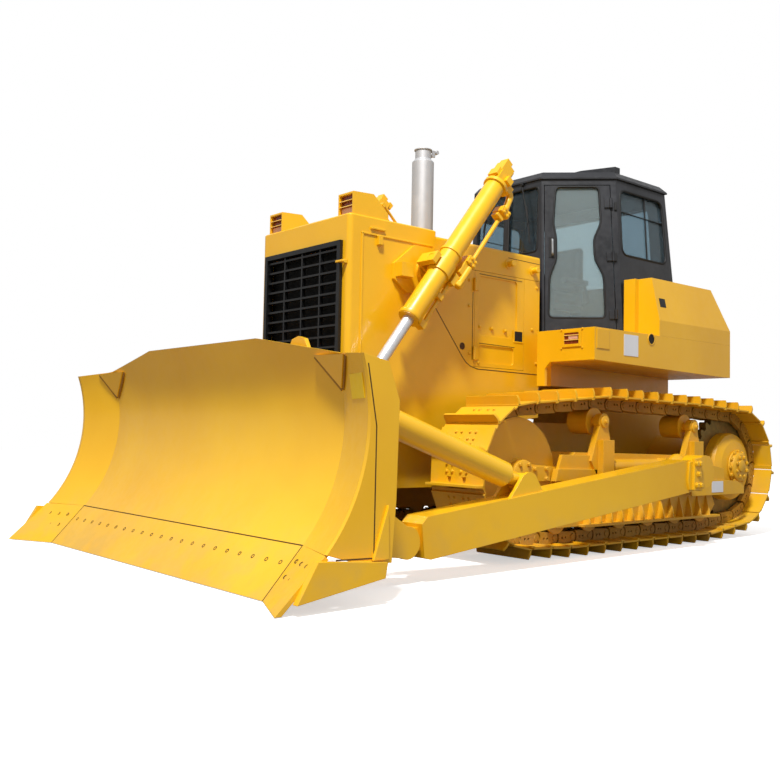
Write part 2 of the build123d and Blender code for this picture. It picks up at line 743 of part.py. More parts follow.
with BuildPart() as blade_back:
    extrude(rail_section(-blade_half), amount=2 * blade_half, dir=(1, 0, 0))
    rail_length = (blade_wing - seat) * hypot(1, wing_lean)
    extrude(rail_section(blade_half), amount=rail_length, dir=(1, -wing_lean, 0))
    extrude(rail_section(-blade_half), amount=rail_length, dir=(-1, -wing_lean, 0))
    for rib in (-1300, -620, -250, 250, 620, 1300):
        with BuildSketch(Plane.YZ.offset(rib - 12)):
            with Locations((-2655, 800)):
                Rectangle(200, 1070)
            with Locations(focus):
                Circle(blade_radius + blade_skin + rib_setback, mode=Mode.SUBTRACT)
        extrude(amount=24)
    for centre in (-cylinder_x, cylinder_x):
        for start in (centre - 100, centre + 70):
            with BuildSketch(Plane.YZ.offset(start)):
                Polygon(
                    (-2800, 420), (rod_eye_y + 10, rod_eye_z - 95), (rod_eye_y + 10, rod_eye_z + 95),
                    (-2640, 780), (-2800, 780), align=None,
                )
                with Locations((rod_eye_y, rod_eye_z)):
                    Circle(100)
                with Locations(focus):
                    Circle(blade_radius + blade_skin + 2 * rib_setback, mode=Mode.SUBTRACT)
            extrude(amount=30)
    # guards that stand above the skin's top edge, on the upper rail
    for centre in (-1030, 1030):
        with BuildSketch(Plane.XZ.offset(2650)):
            Polygon(
                (centre - 150, 1330), (centre - 120, 1480), (centre - 70, 1565), (centre, 1582),
                (centre + 70, 1565), (centre + 120, 1480), (centre + 150, 1330), align=None,
            )
        extrude(amount=-30)
    for centre in (-trunnion_x, trunnion_x):
        for start in (centre - lug_gap - 35, centre + lug_gap):
            with BuildSketch(Plane.YZ.offset(start)):
                Polygon(
                    (-2900, 262), (arm_front_y, arm_front_z - 100), (arm_front_y + 20, arm_front_z + 90),
                    (-2560, 600), (-2560, 1030), (brace_head_y, brace_head_z - 80),
                    (brace_head_y + 10, brace_head_z + 80), (-2540, 1335), (-2800, 1335),
                    (-2900, 600), align=None,
                )
                with Locations((arm_front_y, arm_front_z)):
                    Circle(arm_eye_radius)
                with Locations((brace_head_y, brace_head_z)):
                    Circle(brace_eye_radius + 8)
                with Locations(focus):
                    Circle(blade_radius + blade_skin + 3 * rib_setback, mode=Mode.SUBTRACT)
            extrude(amount=35)
save(blade_back.part, "blade_back")

# Push arms: box beams from the blade lugs to the trunnion balls
arm_slope = atan2(trunnion_z - arm_front_z, trunnion_y - arm_front_y)
arm_run = hypot(trunnion_z - arm_front_z, trunnion_y - arm_front_y)
arm_plane = Plane(
    origin=(trunnion_x, arm_front_y, arm_front_z), x_dir=(0, cos(arm_slope), sin(arm_slope)),
    z_dir=(1, 0, 0),
)
with BuildPart() as push_arm:
    with BuildSketch(arm_plane):
        with BuildLine():
            Polyline(
                (125, -arm_height / 2 + 20), (180, -arm_height / 2), (arm_run - 290, -arm_height / 2),
                (arm_run - 180, -110), (arm_run - 180, 110), (arm_run - 290, arm_height / 2),
                (180, arm_height / 2), (125, arm_height / 2 - 40), close=True,
            )
        make_face()
    extrude(amount=arm_width / 2, both=True)
    with BuildSketch(arm_plane):
        with Locations((75, 0)):
            Rectangle(150, 150)
        Circle(arm_eye_radius - 15)
    extrude(amount=lug_gap - seat, both=True)
    with BuildSketch(arm_plane):
        with Locations((arm_run - 100, 0)):
            Rectangle(200, 220)
        with Locations((arm_run, 0)):
            Circle(145)
    extrude(amount=85, both=True)
    with Locations((trunnion_x + 68, trunnion_y, trunnion_z)):
        Cylinder(trunnion_ball + running, 200, rotation=(0, 90, 0),
                 align=(Align.CENTER, Align.CENTER, Align.MAX), mode=Mode.SUBTRACT)
    # clevis for the foot of the brace
    for side in (-1, 1):
        with BuildSketch(Plane.YZ.offset(trunnion_x + side * lug_gap)):
            Polygon(
                (brace_foot_y - 240, 470), (brace_foot_y - 60, brace_foot_z + 60),
                (brace_foot_y + 60, brace_foot_z + 60), (brace_foot_y + 190, 500), align=None,
            )
            with Locations((brace_foot_y, brace_foot_z)):
                Circle(brace_eye_radius)
        extrude(amount=side * 30)
save_both(push_arm.part, "push_arms")

# Brace on the left arm, a tube with an eye at each end
brace_line = (0, brace_head_y - brace_foot_y, brace_head_z - brace_foot_z)
brace_length = hypot(brace_line[1], brace_line[2])
with BuildPart() as brace:
    add(
        turned(
            [(50, 0), (50, 48), (140, 48), (200, brace_radius), (brace_length - 220, brace_radius),
             (brace_length - 140, 48), (brace_length - 50, 48), (brace_length - 50, 0)],
            (trunnion_x, brace_foot_y, brace_foot_z), brace_line,
        )
    )
    with Locations((trunnion_x, brace_foot_y, brace_foot_z), (trunnion_x, brace_head_y, brace_head_z)):
        Cylinder(brace_eye_radius - 8, 2 * (lug_gap - seat), rotation=(0, 90, 0))
save(brace.part, "brace")

# Tilt cylinder in the same place on the right arm
with BuildPart() as tilt_cylinder:
    add(
        turned(
            [(50, 0), (50, 48), (140, 48), (165, 95), (900, 95), (900, 110), (960, 110), (960, 48),
             (brace_length - 50, 48), (brace_length - 50, 0)],
            (-trunnion_x, brace_foot_y, brace_foot_z), brace_line,
        )
    )
    with Locations((-trunnion_x, brace_foot_y, brace_foot_z), (-trunnion_x, brace_head_y, brace_head_z)):
        Cylinder(brace_eye_radius - 8, 2 * (lug_gap - seat), rotation=(0, 90, 0))
save(tilt_cylinder.part, "tilt_cylinder")

# Cab base: the closed housing below the cab floor, between the fenders
with BuildPart() as cab_base:
    with Locations((0, (hood_end_y + seat + 2100) / 2, (hull_rear_high + seat + fender_high) / 2)):
        Box(2 * (fender_inner - seat), 2100 - hood_end_y - seat, fender_high - hull_rear_high - seat)
save(cab_base.part, "cab_base")

# Fenders: folded boxes over the tracks, each with a front leg and an arch behind it
with BuildPart() as fender:
    with BuildSketch(Plane.XZ.offset(-fender_front_y)):
        with BuildLine():
            Polyline(
                (fender_inner, 1390), (fender_inner + 90, 1390), (fender_inner + 90, 1540),
                (fender_inner + 150, fender_low + 6), (fender_outer, fender_low), (fender_outer, fender_high),
                (fender_inner, fender_high), close=True,
            )
        make_face()
    extrude(amount=-30)
    with BuildSketch(Plane.YZ.offset(fender_inner)):
        Polygon(
            (fender_front_y, fender_low), (fender_front_y, fender_high), (fender_back_y, fender_high),
            (fender_back_y, 1554), (2000, 1554), align=None,
        )
    extrude(amount=fender_outer - fender_inner)
save_both(fender.part, "fenders")

# Side tanks on the fenders and the fuel tank behind the cab
tank_inner = cab_foot[1][0] + 6
with BuildPart() as side_tank:
    with BuildSketch(Plane.XZ.offset(-tank_front_y)):
        Polygon(
            (tank_inner, fender_high + seat), (fender_outer, fender_high + seat),
            (fender_outer, tank_fold_z), (tank_top_x, tank_high), (tank_inner, tank_high), align=None,
        )
    extrude(amount=-(fender_back_y - tank_front_y))
    with BuildSketch(Plane.YZ.offset(tank_inner - 10)):
        Polygon((fender_back_y, tank_fold_z), (fender_back_y - 210, tank_high + 1),
                (fender_back_y + 1, tank_high + 1), (fender_back_y + 1, tank_fold_z), align=None)
    extrude(amount=400, mode=Mode.SUBTRACT)
    with Locations((tank_inner + 60, tank_front_y - 25, (fender_high + tank_high) / 2)):
        Box(120, 60, tank_high - fender_high - 2 * seat)
save_both(side_tank.part, "side_tanks")
tank_cab_y = cab_foot[2][1] + 4
with BuildPart() as fuel_tank:
    with BuildSketch(Plane.YZ):
        Polygon(
            (tank_cab_y, fender_high + seat), (tank_cab_y, tank_high), (fender_back_y - 210, tank_high),
            (fender_back_y, tank_fold_z), (fender_back_y, 1554), (2100 + seat, 1554),
            (2100 + seat, fender_high + seat), align=None,
        )
    extrude(amount=fender_inner - seat, both=True)
    with BuildSketch(Plane.YZ):
        Polygon(
            (tank_cab_y, fender_high + seat), (tank_cab_y, tank_high), (fender_back_y - 210, tank_high),
            (fender_back_y, tank_fold_z), (fender_back_y, fender_high + seat), align=None,
        )
    extrude(amount=tank_inner - seat, both=True)
save(fuel_tank.part, "fuel_tank")


# Cab shell: a leaning hexagon in plan, split into the panels that the real one is built from
def cab_body(inset, low, high):
    """Solid inside the cab's walls, inset from the outside, between two levels."""
    slab = []
    for level in (low, high):
        share = (level - cab_floor) / (cab_top - cab_floor)
        (fx, fy), (dx, dy), (rx, ry) = [
            (a[0] + (b[0] - a[0]) * share, a[1] + (b[1] - a[1]) * share) for a, b in zip(cab_foot, cab_head)
        ]
        nook = inset * tan(radians(22.5))
        slab.append([(fx - nook, fy + inset), (dx - inset, dy + nook), (rx - inset, ry - inset)])
    with BuildPart() as body:
        for level, corners in zip((low, high), slab):
            with BuildSketch(Plane.XY.offset(level)):
                Polygon(*corners, *[(-x, y) for x, y in reversed(corners)], align=None)
        loft(ruled=True)
    return body.part


# Upright plane inside the cab, square to the look through the left door
door_wall = Plane(origin=(-300, 300, 0), x_dir=(1, 1, 0), z_dir=(1, -1, 0))


def door_prism(grow, low, high):
    """Prism square to the left door wall, over the door leaf grown by a margin."""
    root2 = sqrt(2)
    rows = []
    for level in (low, high):
        share = (level - cab_floor) / (cab_top - cab_floor)
        front = sum(cab_foot[0]) + (sum(cab_head[0]) - sum(cab_foot[0])) * share
        back = sum(cab_foot[1]) + (sum(cab_head[1]) - sum(cab_foot[1])) * share
        rows.append((front / root2 + leaf_front - grow, back / root2 - leaf_back + grow, level))
    with BuildPart() as prism:
        with BuildSketch(door_wall):
            Polygon((rows[0][0], low - grow), (rows[0][1], low - grow), (rows[1][1], high + grow),
                    (rows[1][0], high + grow), align=None)
        extrude(amount=900)
    return prism.part


def window_prism(plane, outline, radius, depth):
    """Prism through a wall with rounded corners, from a flat outline."""
    with BuildPart() as prism:
        with BuildSketch(plane):
            with BuildLine():
                FilletPolyline(*outline, radius=radius, close=True)
            make_face()
        extrude(amount=depth)
    return prism.part


leaf_low, leaf_high = cab_floor + 30, cab_top - 60
door_window = [
    (710, 2045), (1226, 2045), (1212, 2440), (1129, 2600), (1120, 2790), (1184, 2930), (1165, 3280),
    (765, 3280), (745, 2930), (775, 2800), (775, 2600), (714, 2440),
]
front_plane = Plane(origin=(0, 600, 0), x_dir=(1, 0, 0), z_dir=(0, -1, 0))
front_window = [(25, 2675), (395, 2675), (385, 3290), (25, 3290)]
side_plane = Plane(origin=(800, 0, 0), x_dir=(0, 1, 0), z_dir=(1, 0, 0))
side_window = [(1000, 2645), (1725, 2645), (1695, 3260), (1005, 3260)]
rear_plane = Plane(origin=(0, 1400, 0), x_dir=(-1, 0, 0), z_dir=(0, 1, 0))
rear_window = [(-760, 2500), (760, 2500), (735, 3230), (-735, 3230)]

with BuildPart() as shell:
    add(cab_body(0, cab_floor, cab_top))
    add(cab_body(cab_wall, cab_floor - 5, cab_top + 5), mode=Mode.SUBTRACT)
with BuildPart() as pane_layer:
    add(cab_body(glass_inset, cab_floor, cab_top))
    add(cab_body(glass_inset + glass_thickness, cab_floor - 5, cab_top + 5), mode=Mode.SUBTRACT)

door_cutter = window_prism(door_wall, door_window, 45, 900)
front_cutter = window_prism(front_plane, front_window, 50, 600)
side_cutter = window_prism(side_plane, side_window, 60, 400)
rear_cutter = window_prism(rear_plane, rear_window, 60, 500)


def mirrored(piece):
    """The same solid on the right side."""
    with BuildPart() as other:
        mirror(piece, about=Plane.YZ)
    return other.part


with BuildPart() as cab_deck:
    add(cab_body(0, fender_high + seat, cab_floor - seat))
save(cab_deck.part, "cab_deck")
door_hole = door_prism(door_gap, leaf_low, leaf_high)
post_y, post_x_inner = cab_foot[1][1] + 5, cab_head[1][0] - cab_wall - 25
with BuildPart() as cab_front:
    add(shell.part)
    with Locations((0, post_y - 500, 2600)):
        Box(2600, 1000, 1600, mode=Mode.INTERSECT)
    add(door_hole, mode=Mode.SUBTRACT)
    add(mirrored(door_hole), mode=Mode.SUBTRACT)
    add(front_cutter, mode=Mode.SUBTRACT)
    add(mirrored(front_cutter), mode=Mode.SUBTRACT)
save(cab_front.part, "cab_front")
with BuildPart() as cab_side:
    add(shell.part)
    with Locations((post_x_inner + seat + 500, post_y + seat + 500, 2600)):
        Box(1000, 1000, 1600, mode=Mode.INTERSECT)
    add(side_cutter, mode=Mode.SUBTRACT)
save_both(cab_side.part, "cab_sides")
with BuildPart() as cab_rear:
    add(shell.part)
    with Locations((0, 1900, 2600)):
        Box(2 * post_x_inner, 900, 1600, mode=Mode.INTERSECT)
    add(rear_cutter, mode=Mode.SUBTRACT)
save(cab_rear.part, "cab_rear")


# Cab doors hang on their rear edge, on a hinge line that leans with the corner post
def hinge_point(level):
    """Point of the left door's hinge line at a level."""
    share = (level - cab_floor) / (cab_top - cab_floor)
    along = sum(cab_foot[1]) + (sum(cab_head[1]) - sum(cab_foot[1])) * share
    out_foot, out_head = cab_foot[1][0] - cab_foot[1][1], cab_head[1][0] - cab_head[1][1]
    along = along / sqrt(2) - leaf_back + door_gap / 2
    out = (out_foot + (out_head - out_foot) * share) / sqrt(2) + hinge_knuckle + seat
    return Vector((along + out) / sqrt(2), (along - out) / sqrt(2), level)


hinge_line = hinge_point(3000) - hinge_point(2000)
with BuildPart() as cab_door:
    add(shell.part)
    add(door_prism(0, leaf_low, leaf_high), mode=Mode.INTERSECT)
    add(door_cutter, mode=Mode.SUBTRACT)
    for level in (2080, 2620, 3120):
        add(turned([(-45, 0), (-45, hinge_knuckle), (45, hinge_knuckle), (45, 0)],
                   hinge_point(level), tuple(hinge_line)))
        with BuildSketch(Plane(origin=hinge_point(level), x_dir=(1, 1, 0), z_dir=hinge_line)):
            with Locations((-30, (hinge_knuckle + 1) / 2)):
                Rectangle(60, hinge_knuckle + 1)
        extrude(amount=40, both=True)
save_pair(cab_door.part, "cab_door")

# Window panes, set into the walls and doors
with BuildPart() as cab_windows:
    for cutter in (front_cutter, mirrored(front_cutter), rear_cutter, side_cutter, mirrored(side_cutter)):
        with BuildPart(mode=Mode.PRIVATE) as pane:
            add(pane_layer.part)
            add(cutter, mode=Mode.INTERSECT)
        add(pane.part)
save(cab_windows.part, "cab_windows")
with BuildPart() as door_glass:
    add(pane_layer.part)
    add(door_cutter, mode=Mode.INTERSECT)
save_pair(door_glass.part, "door_glass")

# Roof: a bevelled lid on the walls
with BuildPart() as cab_roof:
    for level, spread in ((cab_top + seat, 18), (cab_top + 16, 18), (cab_top + 75, -35)):
        with BuildSketch(Plane.XY.offset(level)):
            (fx, fy), (dx, dy), (rx, ry) = cab_head
            nook = spread * tan(radians(22.5))
            corners = [(fx + nook, fy - spread), (dx + spread, dy - nook), (rx + spread, ry + spread)]
            Polygon(*corners, *[(-x, y) for x, y in reversed(corners)], align=None)
    loft(ruled=True)
save(cab_roof.part, "cab_roof")

# Cross beam on the roof, swept back at both ends, which carries the work lamps
with BuildPart() as cab_crossbeam:
    with BuildSketch(Plane.XY.offset(cab_top + 75 + seat)):
        Polygon(
            (860, 1010), (555, 893), (-555, 893), (-860, 1010), (-860, 1085), (-555, 968), (555, 968),
            (860, 1085), align=None,
        )
    extrude(amount=62)
save(cab_crossbeam.part, "cab_crossbeam")

# Operator's seat and the control console
with BuildPart() as operator_seat:
    with Locations((0, 1080, cab_floor + 190)):
        Box(420, 430, 380)
    with Locations((0, 1100, 2330)):
        Box(520, 520, 130)
    with Locations((0, 1340, 2600)):
        Box(500, 130, 560)
    for arm in (-310, 310):
        with Locations((arm, 1130, 2480)):
            Box(90, 380, 60)
        with Locations((arm * 0.9, 1300, 2380)):
            Box(60, 60, 200)
    fillet(operator_seat.edges().filter_by(Axis.Z).group_by(SortBy.LENGTH)[-1], 30)
save(operator_seat.part, "operator_seat")
with BuildPart() as console:
    with BuildSketch(Plane.YZ):
        Polygon((560, cab_floor), (560, 2480), (650, 2480), (760, 2330), (720, cab_floor), align=None)
    extrude(amount=360, both=True)
save(console.part, "console")
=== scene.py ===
import math

import bmesh
import bpy
from mathutils import Matrix, Vector
from mathutils.geometry import delaunay_2d_cdt


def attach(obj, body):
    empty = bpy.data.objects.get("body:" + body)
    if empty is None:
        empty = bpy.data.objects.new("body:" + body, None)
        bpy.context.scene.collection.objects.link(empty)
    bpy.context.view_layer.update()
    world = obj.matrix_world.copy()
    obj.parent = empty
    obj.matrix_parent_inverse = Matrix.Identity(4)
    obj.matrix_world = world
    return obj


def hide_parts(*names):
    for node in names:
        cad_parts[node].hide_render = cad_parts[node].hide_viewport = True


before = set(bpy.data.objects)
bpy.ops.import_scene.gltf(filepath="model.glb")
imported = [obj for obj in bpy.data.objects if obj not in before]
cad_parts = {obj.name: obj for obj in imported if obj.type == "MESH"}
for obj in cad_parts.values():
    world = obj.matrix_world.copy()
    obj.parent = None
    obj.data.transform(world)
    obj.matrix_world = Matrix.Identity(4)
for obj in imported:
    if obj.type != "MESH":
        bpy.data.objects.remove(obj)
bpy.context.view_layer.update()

# The hull is welded steel plate between the tracks, with the drawbar behind it.
# It is sprayed with golden two-pack enamel, which dulls and gathers dust low down.
DUST = "B79A66"


def linear(code):
    """Linear colour of an sRGB hex code, as Blender's sockets take it."""
    parts = [int(code[i : i + 2], 16) / 255 for i in (0, 2, 4)]
    return [c / 12.92 if c <= 0.04045 else ((c + 0.055) / 1.055) ** 2.4 for c in parts] + [1.0]


def add_node(tree, kind, inputs=None, **settings):
    """Adds a node, sets its properties and fills its sockets with values or links."""
    made = tree.nodes.new(kind)
    for name, value in settings.items():
        setattr(made, name, value)
    for name, value in (inputs or {}).items():
        if isinstance(value, bpy.types.NodeSocket):
            tree.links.new(value, made.inputs[name])
        else:
            made.inputs[name].default_value = value
    return made


def mottle(tree, scale, low, high, start=0.35, end=0.65):
    """Soft noise in object space, spread between two values; its patches are about 1/scale m wide."""
    place = add_node(tree, "ShaderNodeTexCoord")
    noise = add_node(
        tree, "ShaderNodeTexNoise", {"Vector": place.outputs["Object"], "Scale": scale, "Detail": 6.0}
    )
    spread = add_node(
        tree,
        "ShaderNodeMapRange",
        {"Value": noise.outputs["Fac"], "From Min": start, "From Max": end, "To Min": low, "To Max": high},
    )
    return spread.outputs["Result"]


def start_material(name):
    """An empty node material with its shader, joined to the output."""
    material = bpy.data.materials.new(name)
    material.use_nodes = True
    tree = material.node_tree
    tree.nodes.clear()
    shader = add_node(tree, "ShaderNodeBsdfPrincipled")
    add_node(tree, "ShaderNodeOutputMaterial", {"Surface": shader.outputs["BSDF"]})
    return material, tree, shader


def relief(tree, scale, depth, strength=0.4, rounding=0.004):
    """Fine relief over edges softened by a few millimetres; 200 gives bumps 5 mm apart, just seen."""
    place = add_node(tree, "ShaderNodeTexCoord")
    grain = add_node(
        tree, "ShaderNodeTexNoise", {"Vector": place.outputs["Object"], "Scale": scale, "Detail": 3.0}
    )
    rounded = add_node(tree, "ShaderNodeBevel", {"Radius": rounding}, samples=4)
    bump = add_node(
        tree,
        "ShaderNodeBump",
        {
            "Height": grain.outputs["Fac"],
            "Distance": depth,
            "Strength": strength,
            "Normal": rounded.outputs["Normal"],
        },
    )
    return bump.outputs["Normal"]


def enamel(name, body, lit, roughness, dust_height, coat=0.35):
    """Sprayed enamel: slight colour drift, orange peel, and dust that thins out upwards."""
    material, tree, shader = start_material(name)
    share = mottle(tree, 0.9, 0.0, 1.0)
    clean = add_node(tree, "ShaderNodeMix", {0: share, 6: linear(body), 7: linear(lit)}, data_type="RGBA")
    place = add_node(tree, "ShaderNodeTexCoord")
    split = add_node(tree, "ShaderNodeSeparateXYZ", {"Vector": place.outputs["Object"]})
    low_down = add_node(
        tree,
        "ShaderNodeMapRange",
        {
            "Value": split.outputs["Z"],
            "From Min": 0.0,
            "From Max": dust_height,
            "To Min": 0.3,
            "To Max": 0.0,
        },
    )
    patches = mottle(tree, 5.0, 0.0, 1.0, 0.42, 0.62)
    dust = add_node(
        tree, "ShaderNodeMath", {0: low_down.outputs["Result"], 1: patches}, operation="MULTIPLY"
    )
    colours = {0: dust.outputs["Value"], 6: clean.outputs[2], 7: linear(DUST)}
    colour = add_node(tree, "ShaderNodeMix", colours, data_type="RGBA")
    tree.links.new(colour.outputs[2], shader.inputs["Base Color"])
    worn = mottle(tree, 14.0, roughness - 0.05, roughness + 0.08)
    dulled = add_node(
        tree, "ShaderNodeMath", {0: dust.outputs["Value"], 1: 0.5, 2: worn}, operation="MULTIPLY_ADD"
    )
    tree.links.new(dulled.outputs["Value"], shader.inputs["Roughness"])
    shader.inputs["Coat Weight"].default_value = coat
    shader.inputs["Coat Roughness"].default_value = 0.15
    tree.links.new(relief(tree, 220.0, 0.0004, 0.3), shader.inputs["Normal"])
    return material


def paint(material, *nodes):
    """Gives each CAD node the finish of the real piece."""
    for name in nodes:
        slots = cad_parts[name].data.materials
        slots.clear()
        slots.append(material)


# Frame gold looks like deep amber paint gone dull, browner towards the ground.
frame_gold = enamel("frame_gold_enamel", "D89E08", "E6AE0E", 0.45, 1.3, 0.15)
paint(frame_gold, "main_frame", "drawbar")

# The undercarriage is cast and forged steel: wheels, rollers, guards and posts.
# It leaves the works in the same enamel, and the sprocket's teeth are soon polished bare.
UNDERCARRIAGE = ("track_frames", "trunnions", "idlers", "final_drives", "track_rollers", "carrier_rollers")
paint(frame_gold, *UNDERCARRIAGE)


def bare_steel(name, dark, light, roughness, rust=0.0, streak=1.0):
    """Scoured steel: streaked along Z, with a little rust in soft patches."""
    material, tree, shader = start_material(name)
    place = add_node(tree, "ShaderNodeTexCoord")
    drawn = add_node(
        tree, "ShaderNodeMapping", {"Vector": place.outputs["Object"], "Scale": (1.0, 1.0, streak)}
    )
    lines = add_node(
        tree, "ShaderNodeTexNoise", {"Vector": drawn.outputs["Vector"], "Scale": 26.0, "Detail": 6.0}
    )
    colours = {0: lines.outputs["Fac"], 6: linear(dark), 7: linear(light)}
    colour = add_node(tree, "ShaderNodeMix", colours, data_type="RGBA")
    if rust:
        colours = {0: mottle(tree, 4.0, 0.0, rust, 0.45, 0.7), 6: colour.outputs[2], 7: linear("7A4A22")}
        colour = add_node(tree, "ShaderNodeMix", colours, data_type="RGBA")
    tree.links.new(colour.outputs[2], shader.inputs["Base Color"])
    tree.links.new(mottle(tree, 9.0, roughness - 0.06, roughness + 0.08), shader.inputs["Roughness"])
    shader.inputs["Metallic"].default_value = 0.6
    tree.links.new(relief(tree, 160.0, 0.0003), shader.inputs["Normal"])
    return material


# Sprocket steel shows as bare brownish metal with old paint in its hollows.
sprocket_steel = bare_steel("sprocket_steel", "6B5A32", "A98C42", 0.45, 0.4)
paint(sprocket_steel, "sprockets")

# Each track is a chain of forged links on pressed pins, with a rolled shoe bolted to each pair.
# The shoes are sprayed over, and earth dulls them between the grousers.
# Each wheel that the pin line runs round is given as (y, z, radius).
IDLER = (-0.652, 0.655)
SPROCKET = (2.469, 0.690)
CARRIERS = ((0.303, 1.088), (1.685, 1.068))
LOWER_WHEELS = ((-0.193, 0.300), (1.947, 0.300))
PIN_WHEELS = ((*IDLER, 0.498), (*SPROCKET, 0.4956))
PIN_WHEELS += tuple((*wheel, 0.165) for wheel in LOWER_WHEELS) + tuple((*wheel, 0.155) for wheel in CARRIERS)
SHOES = 41
FIRST_SHOE = (0.4030, 1.2416)
TRACK_X = 1.07
SIDES = ((1, "left"), (-1, "right"))


def block(low, high):
    """Closed box between two corners."""
    points = [(x, y, z) for x in (low[0], high[0]) for y in (low[1], high[1]) for z in (low[2], high[2])]
    return points, [(0, 1, 3, 2), (4, 6, 7, 5), (0, 4, 5, 1), (2, 3, 7, 6), (0, 2, 6, 4), (1, 5, 7, 3)]


def levelled(flat, start, end, axis):
    """The flat points at two levels along axis 0, 1 or 2."""
    points = []
    for level in (start, end):
        for first, second in flat:
            point = [first, second]
            point.insert(axis, level)
            points.append(tuple(point))
    return points


def prism(outline, start, end, axis=0):
    """Closed prism on an outline, between two places along an axis."""
    count = len(outline)
    faces = [tuple(range(count)), tuple(range(count, 2 * count))]
    faces += [(i, (i + 1) % count, (i + 1) % count + count, i + count) for i in range(count)]
    return levelled(outline, start, end, axis), faces


def pierced(outline, holes, start, end, axis=2):
    """Closed plate with holes in it, between two places along an axis."""
    loops = [outline] + holes
    flat, edges = [], []
    for loop in loops:
        first = len(flat)
        flat += [Vector(point) for point in loop]
        edges += [(first + i, first + (i + 1) % len(loop)) for i in range(len(loop))]
    spots, _, triangles, *_ = delaunay_2d_cdt(flat, edges, [], 0, 1e-6)

    def within(loop, point):
        inside = False
        for (ax, ay), (bx, by) in zip(loop, loop[1:] + loop[:1]):
            if (ay > point[1]) != (by > point[1]):
                if point[0] < (bx - ax) * (point[1] - ay) / (by - ay) + ax:
                    inside = not inside
        return inside

    kept = []
    for triangle in triangles:
        middle = sum((spots[i] for i in triangle), Vector((0, 0))) / 3
        if within(outline, middle) and not any(within(hole, middle) for hole in holes):
            kept.append(tuple(triangle))
    count = len(spots)
    sides = {}
    for triangle in kept:
        for a, b in zip(triangle, triangle[1:] + triangle[:1]):
            if (b, a) in sides:
                del sides[(b, a)]
            else:
                sides[(a, b)] = True
    faces = kept + [tuple(i + count for i in reversed(triangle)) for triangle in kept]
    faces += [(b, a, a + count, b + count) for a, b in sides]
    return levelled(spots, start, end, axis), faces


def ring_faces(rings, sides, hollow=False):
    """Faces over rings of points in a row, closed on itself where hollow, else capped."""
    faces = []
    for ring in range(rings if hollow else rings - 1):
        a, b = ring * sides, (ring + 1) % rings * sides
        for step in range(sides):
            after = (step + 1) % sides
            faces.append((a + step, a + after, b + after, b + step))
    if not hollow:
        faces.append(tuple(reversed(range(sides))))
        faces.append(tuple(range((rings - 1) * sides, rings * sides)))
    return faces


def ring(middle, side, other, radius, sides):
    """Points of a circle round a middle."""
    turns = [2 * math.pi * step / sides for step in range(sides)]
    return [tuple(middle + (side * math.cos(turn) + other * math.sin(turn)) * radius) for turn in turns]


def turned(profile, place, direction, sides=32, hollow=False):
    """Closed solid turned about a line through place; the profile gives (along, radius) pairs."""
    axis = Vector(direction).normalized()
    side = axis.orthogonal().normalized()
    points = []
    for along, radius in profile:
        points += ring(Vector(place) + axis * along, side, axis.cross(side), radius, sides)
    return points, ring_faces(len(profile), sides, hollow)


def rod(start, end, radius, sides=20):
    """Round bar between two points."""
    reach = Vector(end) - Vector(start)
    return turned([(0, radius), (reach.length, radius)], start, reach, sides)


def placed(shape, place, facing, along):
    """Moves a shape so that its Z looks along facing and its X as nearly as it can along."""
    up = Vector(facing).normalized()
    side = (Vector(along) - up * Vector(along).dot(up)).normalized()
    base = Matrix((side, up.cross(side), up)).transposed()
    return [tuple(Vector(place) + base @ Vector(point)) for point in shape[0]], shape[1]


def mirrored(shapes):
    """The same shapes on the machine's other side."""
    return [([(-x, y, z) for x, y, z in points], faces) for points, faces in shapes]


def both(shapes):
    """The shapes and their mirror images."""
    return shapes + mirrored(shapes)


def on_side(side, shapes):
    """The left side's shapes as they are, or mirrored for the right side."""
    return shapes if side > 0 else mirrored(shapes)


def side_spots(x, places, sides=(1, -1)):
    """Spots (place, facing, along) that look outward at x from the middle, from (y, z) places."""
    return [((side * x, y, z), (side, 0, 0), (0, 1, 0)) for side in sides for y, z in places]


def boss(profile, x, y, z, sides=32, hollow=False):
    """A turned shape that looks outward on the left side."""
    return turned(profile, (x, y, z), (1, 0, 0), sides, hollow)


def add_object(name, data):
    """A new object in the scene."""
    made = bpy.data.objects.new(name, data)
    bpy.context.scene.collection.objects.link(made)
    return made


def make_plain(made):
    """Swaps the object's mesh for what its modifiers make of it."""
    view = made.evaluated_get(bpy.context.evaluated_depsgraph_get())
    plain = bpy.data.meshes.new_from_object(view)
    made.modifiers.clear()
    made.data = plain


def mesh_object(name, shapes, material):
    """One mesh object from closed shapes, with outward normals and sharp edges kept."""
    points, faces = [], []
    for some_points, some_faces in shapes:
        start = len(points)
        points += some_points
        faces += [tuple(start + i for i in face) for face in some_faces]
    mesh = bpy.data.meshes.new(name)
    mesh.from_pydata(points, [], faces)
    work = bmesh.new()
    work.from_mesh(mesh)
    bmesh.ops.recalc_face_normals(work, faces=work.faces)
    work.to_mesh(mesh)
    work.free()
    mesh.polygons.foreach_set("use_smooth", [True] * len(mesh.polygons))
    mesh.set_sharp_from_angle(angle=math.radians(35))
    mesh.materials.append(material)
    return add_object(name, mesh)


def piece(name, shapes, material, body="chassis", edge=0.0):
    """A finished piece that rides a body; edge rounds its corners by that much."""
    made = mesh_object(name, shapes, material)
    if edge:
        worn = made.modifiers.new("worn_edges", "BEVEL")
        worn.width = edge
        worn.segments = 2
        worn.limit_method = "ANGLE"
        worn.angle_limit = 0.6
        worn.harden_normals = True
    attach(made, body)
    return made


